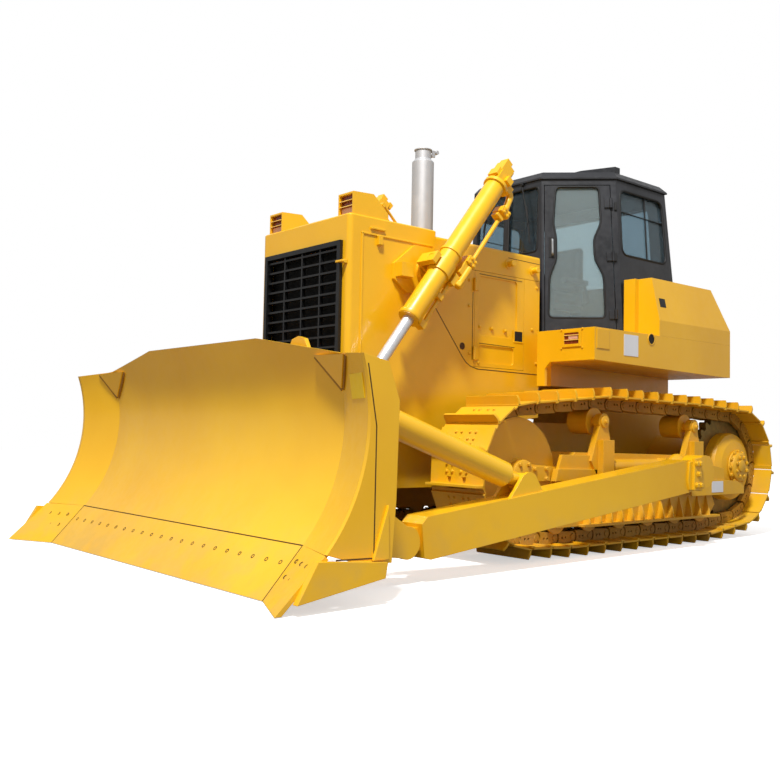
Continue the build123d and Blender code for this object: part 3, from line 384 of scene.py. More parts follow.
repeat_tree = bpy.data.node_groups.new("repeat_on_points", "GeometryNodeTree")
repeat_tree.interface.new_socket("Points", in_out="INPUT", socket_type="NodeSocketGeometry")
repeat_tree.interface.new_socket("Unit", in_out="INPUT", socket_type="NodeSocketObject")
repeat_tree.interface.new_socket("Finish", in_out="INPUT", socket_type="NodeSocketMaterial")
repeat_tree.interface.new_socket("Pieces", in_out="OUTPUT", socket_type="NodeSocketGeometry")
given = add_node(repeat_tree, "NodeGroupInput")
unit_shape = add_node(repeat_tree, "GeometryNodeObjectInfo", {"Object": given.outputs["Unit"]})
facing_field = add_node(
    repeat_tree, "GeometryNodeInputNamedAttribute", {"Name": "facing"}, data_type="FLOAT_VECTOR"
)
along_field = add_node(
    repeat_tree, "GeometryNodeInputNamedAttribute", {"Name": "along"}, data_type="FLOAT_VECTOR"
)
turn_field = add_node(
    repeat_tree,
    "FunctionNodeAxesToRotation",
    {0: facing_field.outputs["Attribute"], 1: along_field.outputs["Attribute"]},
    primary_axis="Z",
    secondary_axis="X",
)
spread_units = add_node(
    repeat_tree,
    "GeometryNodeInstanceOnPoints",
    {
        "Points": given.outputs["Points"],
        "Instance": unit_shape.outputs["Geometry"],
        "Rotation": turn_field.outputs["Rotation"],
    },
)
real_units = add_node(
    repeat_tree, "GeometryNodeRealizeInstances", {"Geometry": spread_units.outputs["Instances"]}
)
painted_units = add_node(
    repeat_tree,
    "GeometryNodeSetMaterial",
    {"Geometry": real_units.outputs["Geometry"], "Material": given.outputs["Finish"]},
)
add_node(repeat_tree, "NodeGroupOutput", {"Pieces": painted_units.outputs["Geometry"]})
REPEAT_INPUTS = {
    item.name: item.identifier
    for item in repeat_tree.interface.items_tree
    if item.in_out == "INPUT"
}


def repeat(name, unit, spots, material, body="chassis"):
    """Sets the unit's shapes on every spot (place, facing, along), as one plain mesh."""
    pattern = mesh_object(name + "_unit", unit, material)
    mesh = bpy.data.meshes.new(name)
    mesh.from_pydata([tuple(spot[0]) for spot in spots], [], [])
    for number, label in ((1, "facing"), (2, "along")):
        field = mesh.attributes.new(label, "FLOAT_VECTOR", "POINT")
        field.data.foreach_set("vector", [value for spot in spots for value in spot[number]])
    made = add_object(name, mesh)
    spread = made.modifiers.new("repeat", "NODES")
    spread.node_group = repeat_tree
    spread[REPEAT_INPUTS["Unit"]] = pattern
    spread[REPEAT_INPUTS["Finish"]] = material
    make_plain(made)
    bpy.data.objects.remove(pattern)
    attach(made, body)
    return made


def pin_line(wheels):
    """Closed line of a chain that runs round the wheels, forwards along its top, as (y, z)."""
    spots = sorted(
        (y + r * math.cos(step * math.pi / 180), z + r * math.sin(step * math.pi / 180))
        for y, z, r in wheels
        for step in range(360)
    )

    def chain(points):
        kept = []
        for point in points:
            while len(kept) > 1:
                (ay, az), (by, bz) = kept[-2:]
                if (by - ay) * (point[1] - az) - (bz - az) * (point[0] - ay) > 0:
                    break
                kept.pop()
            kept.append(point)
        return kept[:-1]

    return [Vector(point) for point in reversed(chain(spots) + chain(spots[::-1]))]


def spaced(line, first, count):
    """Evenly spaced (place, heading) pairs on a closed line, from the point nearest to first."""
    start = min(range(len(line)), key=lambda i: (line[i] - Vector(first)).length)
    best = None
    for index in (start - 1, start):
        a, b = line[index], line[(index + 1) % len(line)]
        share = (Vector(first) - a).dot(b - a) / (b - a).length_squared
        if best is None or 0 <= share <= 1:
            best = (index % len(line), max(0.0, min(1.0, share)))
    index, share = best
    whole = sum((line[i] - line[i - 1]).length for i in range(len(line)))
    spots, walked, wanted = [], -share * (line[(index + 1) % len(line)] - line[index]).length, 0.0
    step = whole / count
    for _ in range(2 * len(line)):
        a, b = line[index % len(line)], line[(index + 1) % len(line)]
        length = (b - a).length
        while walked + length >= wanted and len(spots) < count:
            if wanted >= walked:
                spots.append((a + (b - a) * ((wanted - walked) / length), (b - a).normalized()))
            wanted += step
        walked += length
        index += 1
    return spots


def arc(middle, radius, start, end, steps):
    """Points of an arc, in degrees."""
    return [
        (
            middle[0] + radius * math.cos(math.radians(start + (end - start) * step / steps)),
            middle[1] + radius * math.sin(math.radians(start + (end - start) * step / steps)),
        )
        for step in range(steps + 1)
    ]


def hexagon(middle, radius):
    """Corners of a hexagon round a middle point."""
    return arc(middle, radius, 0, 300, 5)


def hex_bolt(radius, height):
    """A bolt head on its washer, looking along Z from the face that it clamps."""
    seat = height * 0.25
    washer = [(-0.002, radius * 1.35), (seat, radius * 1.35)]
    head = [(seat, radius), (height * 0.85, radius), (height, radius * 0.8)]
    return [turned(washer, (0, 0, 0), (0, 0, 1), 12), turned(head, (0, 0, 0), (0, 0, 1), 6)]


# Shoe gold is matt, bright paint; link gold is the same paint in a darker brown.
shoe_gold = enamel("shoe_gold_enamel", "DCA20A", "EDB812", 0.5, 1.5, 0.05)
link_gold = enamel("link_gold_enamel", "94660E", "BC8C1A", 0.6, 1.5, 0.0)
SHOE_HALF = 0.28
SHOE_LOW, SHOE_TOP = 0.050, 0.064
GROUSER_SHOULDER, GROUSER_TOP = 0.100, 0.134
PIN_HALF = 0.1143
RAIL_X = 0.075
mud_holes = [
    [(-0.070, y - 0.016), (-0.028, y - 0.022), (-0.028, y + 0.022), (-0.070, y + 0.016)]
    for y in (-0.078, 0.078)
]
shoe_outline = [(-0.106, -SHOE_HALF), (0.112, -SHOE_HALF), (0.112, SHOE_HALF), (-0.106, SHOE_HALF)]
grouser_outline = [
    (-SHOE_HALF, 0.060), (SHOE_HALF, 0.060), (SHOE_HALF, GROUSER_SHOULDER), (SHOE_HALF - 0.014, GROUSER_TOP),
    (0.014 - SHOE_HALF, GROUSER_TOP), (-SHOE_HALF, GROUSER_SHOULDER),
]
shoe_unit = [
    pierced(shoe_outline, mud_holes, SHOE_LOW, SHOE_TOP),
    prism(grouser_outline, -0.099, -0.080, 0),
    block((0.104, -SHOE_HALF, 0.038), (0.142, SHOE_HALF, 0.049)),
]
link_outline = (
    arc((-PIN_HALF, 0.0), 0.044, 270, 110, 8)
    + [(-0.085, 0.050), (0.080, 0.050)]
    + arc((PIN_HALF, 0.0), 0.060, 122, 238, 8)
)
nut_windows = [hexagon((-0.028, 0.004), 0.011), hexagon((0.012, 0.004), 0.011)]
link_unit = [
    pierced(link_outline, nut_windows, rail - 0.022, rail + 0.022, 1) for rail in (-RAIL_X, RAIL_X)
]
link_unit.append(rod((-PIN_HALF, -0.103, 0), (-PIN_HALF, 0.103, 0), 0.023, 14))
link_unit.append(rod((-PIN_HALF, -0.052, 0), (-PIN_HALF, 0.052, 0), 0.036, 14))
chain_line = pin_line(PIN_WHEELS)
for side, label in SIDES:
    spots = [
        ((side * TRACK_X, place.x, place.y), (0, -heading.y, heading.x), (0, heading.x, heading.y))
        for place, heading in spaced(chain_line, FIRST_SHOE, SHOES)
    ]
    shoes = repeat(f"track_shoes_{label}", shoe_unit, spots, shoe_gold)
    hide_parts(f"track_{label}")
    repeat(f"track_links_{label}", link_unit, spots, link_gold)
    bolts = []
    for place, facing, along in spots:
        base = Vector(place) + Vector(facing) * SHOE_TOP
        for step in (0.012, 0.070):
            for shift in (-0.105, -0.045, 0.045, 0.105):
                bolts.append((base + Vector(along) * step + Vector((shift, 0, 0)), facing, along))
    repeat(f"shoe_bolts_{label}", hex_bolt(0.011, 0.011), bolts, shoe_gold)

# Bolted castings sit on the track frames: blocks on the roller posts, covers over the recoil
# springs, ribs below the beams, hub bolts and the plate that closes each idler's web.
POST_X = 1.285
FRAME_X = 1.230
HUB_X = TRACK_X + 0.205
DRIVE_X = TRACK_X + 0.262
COVER_AT = (2.450, 0.700)
rib = prism([(1.236, 0.236), (1.318, 0.236), (1.300, 0.300), (1.236, 0.440)], 0.0, 0.014, 1)
leaning_ribs = [
    ([(x, y + z * 0.25 + 0.020 + number * 0.152, z) for x, y, z in rib[0]], rib[1]) for number in range(13)
]
idler_face = [(0.092, 0.112), (0.097, 0.112), (0.101, 0.436), (0.092, 0.440)]
undercarriage = leaning_ribs + [
    prism([(-0.300, 0.590), (-0.245, 0.735), (-0.215, 0.812), (0.205, 0.805), (0.205, 0.590)], FRAME_X, 1.262),
    prism([(-0.320, 0.600), (-0.290, 0.700), (0.215, 0.690), (0.215, 0.600)], FRAME_X, POST_X),
    block((FRAME_X, 0.400, 0.600), (1.255, 1.600, 0.770)),
    turned([(0.0, 0.070), (1.15, 0.070)], (1.235, 0.430, 0.700), (0, 1, 0), 28),
    prism([(1.560, 0.430), (1.560, 0.600), (2.380, 0.556), (2.500, 0.500), (2.500, 0.430)], 1.325, 1.337),
    block((1.245, 0.020, 0.222), (1.322, 2.080, 0.244)),
    boss(idler_face, TRACK_X, *IDLER, 64, True),
    boss([(0.0, 0.118), (0.020, 0.118), (0.026, 0.108)], TRACK_X + 0.148, *IDLER, 40),
    block((TRACK_X + 0.140, -0.560, 0.600), (TRACK_X + 0.166, -0.330, 0.720)),
    boss([(0.0, 0.168), (0.012, 0.168), (0.018, 0.160)], HUB_X, *SPROCKET, 48),
    boss([(0.0, 0.060), (0.014, 0.060), (0.018, 0.052)], DRIVE_X, *COVER_AT),
]
for y, z in CARRIERS:
    undercarriage.append(block((POST_X - 0.006, y - 0.080, 0.650), (POST_X + 0.052, y + 0.075, 0.935)))
    undercarriage.append(boss([(-0.004, 0.052), (0.012, 0.052), (0.016, 0.046)], POST_X, y, z, 28))
piece("undercarriage_castings", both(undercarriage), frame_gold, edge=0.004)


def bolt_circle(middle, radius, count, start=0.0):
    """Places (y, z) evenly round a middle."""
    turns = [2 * math.pi * (number + start) / count for number in range(count)]
    return [(middle[0] + radius * math.cos(turn), middle[1] + radius * math.sin(turn)) for turn in turns]


casting_spots = side_spots(HUB_X + 0.018, bolt_circle(SPROCKET, 0.152, 12))
casting_spots += side_spots(DRIVE_X, bolt_circle(SPROCKET, 0.098, 8, 0.5))
casting_spots += side_spots(TRACK_X + 0.172, [(y, z) for y in (-0.60, -0.70) for z in (0.735, 0.575)])
casting_spots += side_spots(TRACK_X + 0.166, [(y, z) for y in (-0.52, -0.38) for z in (0.70, 0.62)])
casting_spots += side_spots(POST_X + 0.016, CARRIERS)
casting_spots += side_spots(1.242, [(0.15 + number * 0.30, 0.455) for number in range(7)])
repeat("casting_bolts", hex_bolt(0.017, 0.016), casting_spots, frame_gold)

# The hood is folded sheet over the engine, with doors at both sides and a heavy guard in front.
# Panels carry the smoothest paint of the machine.
# Panel gold is a warm, even yellow with a clear soft shine.
panel_gold = enamel("panel_gold_enamel", "E3A908", "EEB60E", 0.34, 0.6, 0.35)
paint(
    panel_gold,
    "radiator_guard", "hood_top", "hood_sides", "engine_door_left", "engine_door_right", "headlamps",
    "fenders", "side_tanks", "fuel_tank", "cab_base", "cylinder_brackets", "lift_barrel_left",
    "lift_barrel_right", "lift_yoke_left", "lift_yoke_right",
)


def satin(name, body, lit, roughness, bump_scale=180.0, bump_depth=0.0004):
    """Satin paint or moulded plastic with a fine texture."""
    material, tree, shader = start_material(name)
    colours = {0: mottle(tree, 3.0, 0.0, 1.0), 6: linear(body), 7: linear(lit)}
    colour = add_node(tree, "ShaderNodeMix", colours, data_type="RGBA")
    tree.links.new(colour.outputs[2], shader.inputs["Base Color"])
    tree.links.new(mottle(tree, 20.0, roughness - 0.06, roughness + 0.08), shader.inputs["Roughness"])
    tree.links.new(relief(tree, bump_scale, bump_depth, 0.4, 0.003), shader.inputs["Normal"])
    return material


HOOD_X = 0.593
# Recess black is painted shade: a near-black sheet stands where the depth of a cup or hole lies in shadow.
dark_recess = satin("recess_shadow_black", "0A0705", "120C07", 0.8)
door_bolt_places = [(-0.500, 1.872), (-0.344, 1.866), (-0.177, 1.860), (-0.510, 1.565)]
fixed_bolt_places = [
    (-0.626, 2.034), (-0.617, 1.638), (-0.95, 2.25), (-0.95, 2.05), (-0.626, 2.25), (0.17, 1.90), (0.23, 1.60),
    (0.23, 2.28),
]
hood_bolt = hex_bolt(0.013, 0.010)
latch_outline = [(-0.072, 1.766), (0.054, 1.766), (0.054, 1.880), (-0.072, 1.880)]
latch_mouth = [(-0.060, 1.780), (0.042, 1.780), (0.042, 1.866), (-0.060, 1.866)]
latch_rim = [pierced(latch_outline, [latch_mouth], HOOD_X - 0.001, HOOD_X + 0.004, 0)]
# The latch's cup is a thin sheet of painted shade set in its mouth.
latch_cup = [block((HOOD_X, -0.062, 1.778), (HOOD_X + 0.0015, 0.044, 1.868))]
for side, label in SIDES:
    door = f"engine_door_{label}"
    spots = side_spots(HOOD_X, door_bolt_places, (side,))
    repeat(f"door_bolts_{label}", hood_bolt, spots, panel_gold, door)
    piece(f"door_latch_rim_{label}", on_side(side, latch_rim), panel_gold, door, 0.0015)
    piece(f"door_latch_cup_{label}", on_side(side, latch_cup), dark_recess, door)
repeat("hood_bolts", hood_bolt, side_spots(HOOD_X, fixed_bolt_places), panel_gold)
stub = [(-0.004, 0.044), (0.006, 0.044), (0.008, 0.027), (0.062, 0.027), (0.066, 0.023)]
stubs = both([boss(stub, HOOD_X, y, z, 24) for y, z in ((-0.147, 2.447), (0.172, 2.430))])
piece("hood_lifting_stubs", stubs, panel_gold)


def strip(path, x, width=0.005, proud=0.0012):
    """Thin flat bead along a (y, z) path on a side plane."""
    shapes = []
    for (ay, az), (by, bz) in zip(path, path[1:]):
        heading = Vector((by - ay, bz - az)).normalized()
        out = Vector((-heading.y, heading.x)) * width / 2
        run = heading * width * 0.4
        corners = [
            (ay - run.x + out.x, az - run.y + out.y), (by + run.x + out.x, bz + run.y + out.y),
            (by + run.x - out.x, bz + run.y - out.y), (ay - run.x - out.x, az - run.y - out.y),
        ]
        shapes.append(prism(corners, x - 0.001, x + proud))
    return shapes


# Seam brown is painted shade: thin dark lines stand in for the shadowed gaps where panels meet.
seam_brown = satin("seam_shade_brown", "3A2206", "54340C", 0.7)
seam_path = [
    (-1.018, 1.985), (-0.692, 1.594), (-0.650, 1.555), (-0.600, 1.528), (-0.520, 1.510), (0.262, 1.502),
]
seams = strip(seam_path, HOOD_X, 0.007) + strip([(-0.583, 2.150), (-0.583, 1.585)], HOOD_X, 0.006)
seams += strip([(-0.150, 2.502), (0.262, 2.497)], HOOD_X, 0.004)
piece("hood_seams", both(seams), seam_brown)
door_seams = strip([(-0.505, 2.318), (0.030, 2.313)], HOOD_X)
door_seams += strip([(-0.500, 1.730), (-0.060, 1.724)], HOOD_X)
for side, label in SIDES:
    piece(f"door_seams_{label}", on_side(side, door_seams), seam_brown, f"engine_door_{label}")
# Each side opening is a brown disc of painted shade, standing in for the shadow inside it.
openings = both([boss([(-0.001, 0.030), (0.0015, 0.030)], HOOD_X, -0.700, 1.690, 24)])
piece("hood_side_openings", openings, seam_brown)

# The guard's cheek has a pressed rim, a lifting lug and a stay behind each lamp.
# They are small forged and folded steel pieces, welded on before painting.
cheeks = both([
    block((HOOD_X - 0.002, -1.790, 1.10), (HOOD_X + 0.009, -1.772, 2.475)),
    block((HOOD_X - 0.002, -1.790, 2.462), (HOOD_X + 0.009, -1.06, 2.478)),
    block((HOOD_X - 0.005, -1.640, 2.395), (HOOD_X + 0.030, -1.596, 2.470)),
    block((HOOD_X - 0.005, -1.705, 2.508), (HOOD_X + 0.020, -1.565, 2.526)),
])
cheeks += [
    block((0.540, -1.935, 2.222), (0.575, -1.904, 2.252)),
    block((0.490, -1.957, 2.228), (0.575, -1.935, 2.246)),
]
piece("guard_cheek_fittings", cheeks, panel_gold, edge=0.004)


def tube(corners, radius, bend=0.05, sides=14):
    """Bent steel pipe through the corners, with rounded bends and closed ends."""
    path = [Vector(corners[0])]
    for before, corner, after in zip(corners, corners[1:], corners[2:]):
        before, corner, after = Vector(before), Vector(corner), Vector(after)
        reach = min(bend, (before - corner).length / 2.1, (after - corner).length / 2.1)
        first = corner + (before - corner).normalized() * reach
        last = corner + (after - corner).normalized() * reach
        for step in range(7):
            share = step / 6
            path.append(first * (1 - share) ** 2 + corner * 2 * share * (1 - share) + last * share**2)
    path.append(Vector(corners[-1]))
    points = []
    side = (path[1] - path[0]).orthogonal().normalized()
    for index, spot in enumerate(path):
        heading = (path[min(index + 1, len(path) - 1)] - path[max(index - 1, 0)]).normalized()
        side = (side - heading * side.dot(heading)).normalized()
        points += ring(spot, side, heading.cross(side), radius, sides)
    return points, ring_faces(len(path), sides)


stays = both([
    tube([(0.545, -1.560, 2.725), (0.545, -1.520, 2.715), (0.545, -1.400, 2.602)], 0.011),
    rod((0.525, -1.548, 2.728), (0.568, -1.548, 2.728), 0.020),
])
piece("lamp_stays", stays, panel_gold)

# Each headlamp has a louvred red-brown lens deep in its housing.
# The lens is moulded plastic behind two folded slats.
# The lens is a glossy red-brown, its reflector a pale pink strip, and the slats a lighter gold.
lens_plastic = satin("lamp_lens_red_brown", "5A1E10", "8A3A20", 0.2, 60.0, 0.001)
lens_pale = satin("lamp_reflector_pale", "C98E70", "DDB49A", 0.25)
slat_gold = satin("lamp_slat_pale_gold", "D9A23C", "EFCB70", 0.4)
headlamps = both([block((0.398, -1.831, 2.623), (0.557, -1.826, 2.764))])
reflectors = both([block((0.404, -1.836, 2.627), (0.552, -1.829, 2.668))])
piece("headlamp_lenses", headlamps, lens_plastic)
piece("headlamp_reflectors", reflectors, lens_pale)
slats = both([
    prism([(-1.858, z), (-1.858, z + 0.006), (-1.830, z + 0.014), (-1.830, z + 0.008)], 0.398, 0.557, 0)
    for z in (2.672, 2.716)
])
piece("headlamp_slats", slats, slat_gold)

# The grille is pressed steel bars in satin black, bolted into the guard's mouth.
# The radiator's finned core stands dark behind it, and the engine's iron block behind that.
# Grille black has a faint edge light, and core black has none.
grille_black = satin("grille_black_satin", "070708", "111112", 0.42)
paint(grille_black, "grille")
core_black = satin("radiator_core_black", "020202", "060606", 0.9)
paint(core_black, "radiator")
# Engine iron is a rough warm grey.
engine_iron = satin("engine_cast_iron", "3A3833", "57534A", 0.7, 60.0, 0.002)
paint(engine_iron, "engine_block")

# The exhaust stack is aluminised steel tube, clamped to the muffler under the hood.
# A cap of the same metal is hinged on its mouth against rain.
# Its silver is pale and matt, with faint lines along the tube.
stack_silver = bare_steel("stack_aluminised_steel", "B4B4B5", "D2D2D3", 0.5, 0.0, 0.04)
paint(stack_silver, "exhaust_stack", "rain_cap")

# The lift cylinders have hard-chromed rods; steel pipes carry the oil along each barrel.
# Clamps, ports and the valve block on the head are forgings, all sprayed with the barrel.
# The chrome is brighter and smoother than the stack.
rod_chrome = bare_steel("rod_hard_chrome", "C4C5C9", "E8E9EC", 0.32)
paint(rod_chrome, "lift_rod_left", "lift_rod_right")
PIVOT = Vector((0.8, -1.153, 2.245))
UPHILL = Vector((0.0, 1.290, 1.650)).normalized()
ACROSS = Vector((0.0, UPHILL.z, -UPHILL.y))
OUTER = Vector((1.0, 0.0, 0.0))


def on_barrel(outward, along, across):
    """Point beside the left barrel: outward from the machine, up the barrel, to its rear side."""
    return tuple(PIVOT + OUTER * outward + UPHILL * along + ACROSS * across)


def barrel_block(outward, along, across, size):
    """Box whose size is given (outward, along, across) on the left barrel."""
    shape = block([-s / 2 for s in size], [s / 2 for s in size])
    return [on_barrel(outward + x, along + y, across + z) for x, y, z in shape[0]], shape[1]


RING_BORE = 0.084
middle_ring = [(0.0, RING_BORE), (0.0, 0.094), (0.028, 0.094), (0.028, RING_BORE)]
gland_ring = [(0.0, RING_BORE), (0.0, 0.090), (0.020, 0.096), (0.035, 0.096), (0.035, RING_BORE)]
barrel_fittings = [
    turned(middle_ring, on_barrel(0, 0.155, 0), UPHILL, 40, True),
    turned(gland_ring, on_barrel(0, -0.530, 0), UPHILL, 40, True),
    tube(
        [
            on_barrel(0.010, 1.055, 0.08), on_barrel(0.020, 1.040, 0.165), on_barrel(0.030, 0.900, 0.185),
            on_barrel(0.035, 0.830, 0.185),
        ],
        0.030,
    ),
    tube([on_barrel(0.030, 0.820, 0.185), on_barrel(0.030, 0.190, 0.185)], 0.019),
    barrel_block(0.030, 0.835, 0.175, (0.105, 0.060, 0.105)),
    barrel_block(0.030, 0.770, 0.160, (0.070, 0.030, 0.080)),
    barrel_block(0.020, 0.235, 0.165, (0.110, 0.070, 0.100)),
    barrel_block(0.020, 0.140, 0.150, (0.080, 0.120, 0.075)),
    tube([on_barrel(0.050, 0.190, 0.185), on_barrel(0.055, 0.020, 0.180)], 0.028),
    turned([(-0.02, 0.036), (0.02, 0.036), (0.03, 0.026)], on_barrel(0.055, 0.000, 0.180), -UPHILL, 6),
    tube(
        [
            on_barrel(0.010, 0.120, 0.125), on_barrel(0.010, -0.420, 0.125), on_barrel(0.010, -0.470, 0.125),
            on_barrel(0.005, -0.490, 0.07),
        ],
        0.017,
    ),
    barrel_block(0.010, -0.200, 0.105, (0.070, 0.045, 0.060)),
    barrel_block(0.005, -0.485, 0.105, (0.070, 0.060, 0.075)),
    barrel_block(0.0, 1.150, -0.015, (0.110, 0.110, 0.120)),
    barrel_block(0.005, 1.215, -0.035, (0.085, 0.050, 0.070)),
    barrel_block(-0.020, 1.200, 0.055, (0.060, 0.060, 0.050)),
    barrel_block(0.0, 1.070, -0.065, (0.105, 0.075, 0.060)),
    barrel_block(0.075, 1.060, 0.035, (0.040, 0.060, 0.070)),
]
barrel_bolts = [
    (on_barrel(outward, 1.105, across), tuple(UPHILL), (1, 0, 0))
    for outward in (-0.045, 0.045)
    for across in (-0.050, 0.060)
]
for outward, alongs, acrosses in (
    (0.0825, (0.820, 0.850), (0.155, 0.205)),
    (0.075, (0.215, 0.255), (0.145, 0.190)),
):
    barrel_bolts += [
        (on_barrel(outward, along, across), (1, 0, 0), tuple(UPHILL)) for along in alongs for across in acrosses
    ]
for side, label in SIDES:
    barrel = f"lift_barrel_{label}"
    piece(f"barrel_pipework_{label}", on_side(side, barrel_fittings), panel_gold, barrel, 0.003)
    spots = [tuple((side * v[0], v[1], v[2]) for v in spot) for spot in barrel_bolts]
    repeat(f"barrel_bolts_{label}", hex_bolt(0.012, 0.012), spots, panel_gold, barrel)

# The cab is a welded steel frame in charcoal satin paint, with tinted glass in rubber seals.
# Its doors hang on black strap hinges and open with a lever in a recess.
# Cab charcoal is a cool near-black that keeps a broad dull shine on its edges.
cab_charcoal = satin("cab_charcoal_satin", "1F2023", "2B2C30", 0.34)
CAB_FRAME = ("deck", "front", "sides", "rear", "roof", "door_left", "door_right", "crossbeam")
paint(cab_charcoal, *(f"cab_{name}" for name in CAB_FRAME))
# Rubber is the deepest black of the machine, with no shine.
rubber = satin("seal_black_rubber", "050505", "0C0C0C", 0.6)


def tinted_glass(name, tint, clear, clear_ahead=None):
    """Tinted glass whose pale diffuse veil, the share that is not clear, is painted sky reflection; clear_ahead
    is for panes ahead of the doors.
    """
    material, tree, shader = start_material(name)
    shader.inputs["Base Color"].default_value = linear(tint)
    shader.inputs["Transmission Weight"].default_value = clear
    # Panes ahead of the doors get a thinner veil of painted reflection.
    if clear_ahead is not None:
        place = add_node(tree, "ShaderNodeTexCoord")
        split = add_node(tree, "ShaderNodeSeparateXYZ", {"Vector": place.outputs["Object"]})
        share = {"Value": split.outputs["Y"], "From Min": 0.55, "From Max": 0.60}
        share.update({"To Min": clear_ahead, "To Max": clear})
        spread = add_node(tree, "ShaderNodeMapRange", share)
        tree.links.new(spread.outputs["Result"], shader.inputs["Transmission Weight"])
    shader.inputs["IOR"].default_value = 1.3
    shader.inputs["Roughness"].default_value = 0.02
    tree.links.new(relief(tree, 2.0, 0.002, 0.2, 0.001), shader.inputs["Normal"])
    return material


# Cab glass is clear and dark, so that the inside shows; its faint pale veil is painted sky reflection, thinner
# on the panes ahead of the doors. Door glass has a thicker pale veil of painted sky reflection.
cab_glass = tinted_glass("cab_tinted_glass", "9FB4BE", 0.90, 0.97)
paint(cab_glass, "cab_windows")
door_glass = tinted_glass("door_tinted_glass", "C6D6D8", 0.82)
paint(door_glass, "door_glass_left", "door_glass_right")
ROOT = math.sqrt(0.5)


def lean(z, foot, head):
    """A wall's offset at a height, between its foot and its head."""
    return foot + (z - 1.886) * (head - foot) / 1.464


def door_point(along, z, out=0.0):
    """Point on the left door's outer face; along runs back from the front corner."""
    offset = lean(z, 0.03465, -0.03889) + out
    return ((along + offset) * ROOT, (along - offset) * ROOT, z)


def side_point(y, z, out=0.0):
    return (lean(z, 1.004, 0.905) + out, y, z)


def front_point(x, z, out=0.0):
    return (x, lean(z, 0.435, 0.477) - out, z)


def rear_point(x, z, out=0.0):
    return (x, lean(z, 1.860, 1.755) + out, z)


def seal(corners, radius=0.011, bend=0.05):
    """Rubber bead round a pane, closed back on its start."""
    middle = (Vector(corners[0]) + Vector(corners[1])) / 2
    return tube([tuple(middle)] + list(corners[1:]) + [corners[0], tuple(middle)], radius, bend, 8)


PANE_DEPTH = -0.004
door_outline = [
    (0.710, 2.045), (1.226, 2.045), (1.212, 2.440), (1.129, 2.600), (1.120, 2.790), (1.184, 2.930),
    (1.165, 3.280), (0.765, 3.280), (0.745, 2.930), (0.775, 2.800), (0.775, 2.600), (0.714, 2.440),
]
door_seal = [seal([door_point(along, z, -0.006) for along, z in door_outline])]
door_facing = (ROOT, -ROOT, 0)
plate_outline = [(-0.034, -0.095), (0.034, -0.095), (0.034, 0.095), (-0.034, 0.095)]
flat_plate = prism(plate_outline, 0.0, 0.010, 2)
handle_plate = [placed(flat_plate, door_point(0.742, 2.703), door_facing, (ROOT, ROOT, 0))]
lever_path = [(0.738, 2.775, 0.012), (0.738, 2.770, 0.035), (0.740, 2.640, 0.035), (0.740, 2.630, 0.012)]
handle_lever = [tube([door_point(*spot) for spot in lever_path], 0.010, 0.02, 10)]
strap = block((-0.045, -0.012, -0.001), (0.030, 0.012, 0.014))
straps = [placed(strap, door_point(1.315, z, 0.004), door_facing, (0, 0, 1)) for z in (2.09, 2.62, 3.10)]
# Lever steel is a plain mid grey that catches a small highlight.
lever_steel = bare_steel("handle_grey_steel", "8C9094", "B9BDC0", 0.35)
for side, label in SIDES:
    door = f"cab_door_{label}"
    piece(f"door_seal_{label}", on_side(side, door_seal), rubber, door)
    piece(f"door_handle_plate_{label}", on_side(side, handle_plate), rubber, door, 0.002)
    piece(f"door_handle_lever_{label}", on_side(side, handle_lever), lever_steel, door)
    piece(f"door_straps_{label}", on_side(side, straps), rubber, door, 0.002)

side_outline = [(1.000, 2.645), (1.725, 2.645), (1.695, 3.260), (1.005, 3.260)]
front_outline = [(0.025, 2.675), (0.395, 2.675), (0.395, 3.290), (0.025, 3.290)]
rear_outline = [(-0.76, 2.50), (0.76, 2.50), (0.735, 3.23), (-0.735, 3.23)]
window_seals = both([
    seal([side_point(y, z, PANE_DEPTH) for y, z in side_outline], 0.012, 0.09),
    seal([front_point(x, z, PANE_DEPTH) for x, z in front_outline]),
])
window_seals.append(seal([rear_point(x, z, PANE_DEPTH) for x, z in rear_outline], 0.012))
piece("window_seals", window_seals, rubber)
bars = both([
    tube([side_point(1.42, 2.65, -0.016), side_point(1.42, 3.255, -0.016)], 0.008, 0.01, 8),
    tube([side_point(1.01, 3.055, -0.016), side_point(1.70, 3.045, -0.016)], 0.006, 0.01, 8),
])
piece("window_bars", bars, rubber)
wipers = both([
    rod(front_point(0.20, 3.33, 0.020), front_point(0.29, 2.95, 0.018), 0.006, 8),
    rod(front_point(0.26, 3.12, 0.010), front_point(0.31, 2.76, 0.010), 0.008, 8),
    rod(front_point(0.20, 3.34, -0.010), front_point(0.20, 3.33, 0.032), 0.016, 12),
])
piece("wipers", wipers, rubber)

# The seat is two foam pads in dark cloth on a steel riser, behind the console.
# The console is moulded plastic with round dials and two levers with knobs.
# Seat cloth is a flat dark grey with a fine grain; console plastic is a shade lighter and smoother.
seat_cloth = satin("seat_cloth", "17181A", "2A2B2E", 0.9, 400.0, 0.002)
console_plastic = satin("console_grey_plastic", "2A2B2D", "38393C", 0.5)
paint(console_plastic, "console")


def cushion(name, low, high, cap=0.012):
    """A foam pad that swells inside its cover, where no point moves more than the cap in metres."""
    made = mesh_object(name, [block(low, high)], seat_cloth)
    corners = made.modifiers.new("corners", "BEVEL")
    corners.width = 0.035
    corners.segments = 4
    fine = made.modifiers.new("fine", "REMESH")
    fine.mode = "VOXEL"
    fine.voxel_size = 0.006
    make_plain(made)
    rest = [vertex.co.copy() for vertex in made.data.vertices]
    cloth = made.modifiers.new("cloth", "CLOTH")
    cloth.settings.use_pressure = True
    cloth.settings.uniform_pressure_force = 4.0
    cloth.settings.effector_weights.gravity = 0.0
    for number in range(1, 21):
        bpy.context.scene.frame_set(number)
    make_plain(made)
    for vertex, start in zip(made.data.vertices, rest):
        move = vertex.co - start
        if move.length > cap:
            vertex.co = start + move.normalized() * cap
    bpy.context.scene.frame_set(1)
    made.data.materials.clear()
    made.data.materials.append(seat_cloth)
    smooth = made.modifiers.new("smooth", "SUBSURF")
    smooth.levels = 1
    smooth.render_levels = 1
    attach(made, "chassis")
    return made


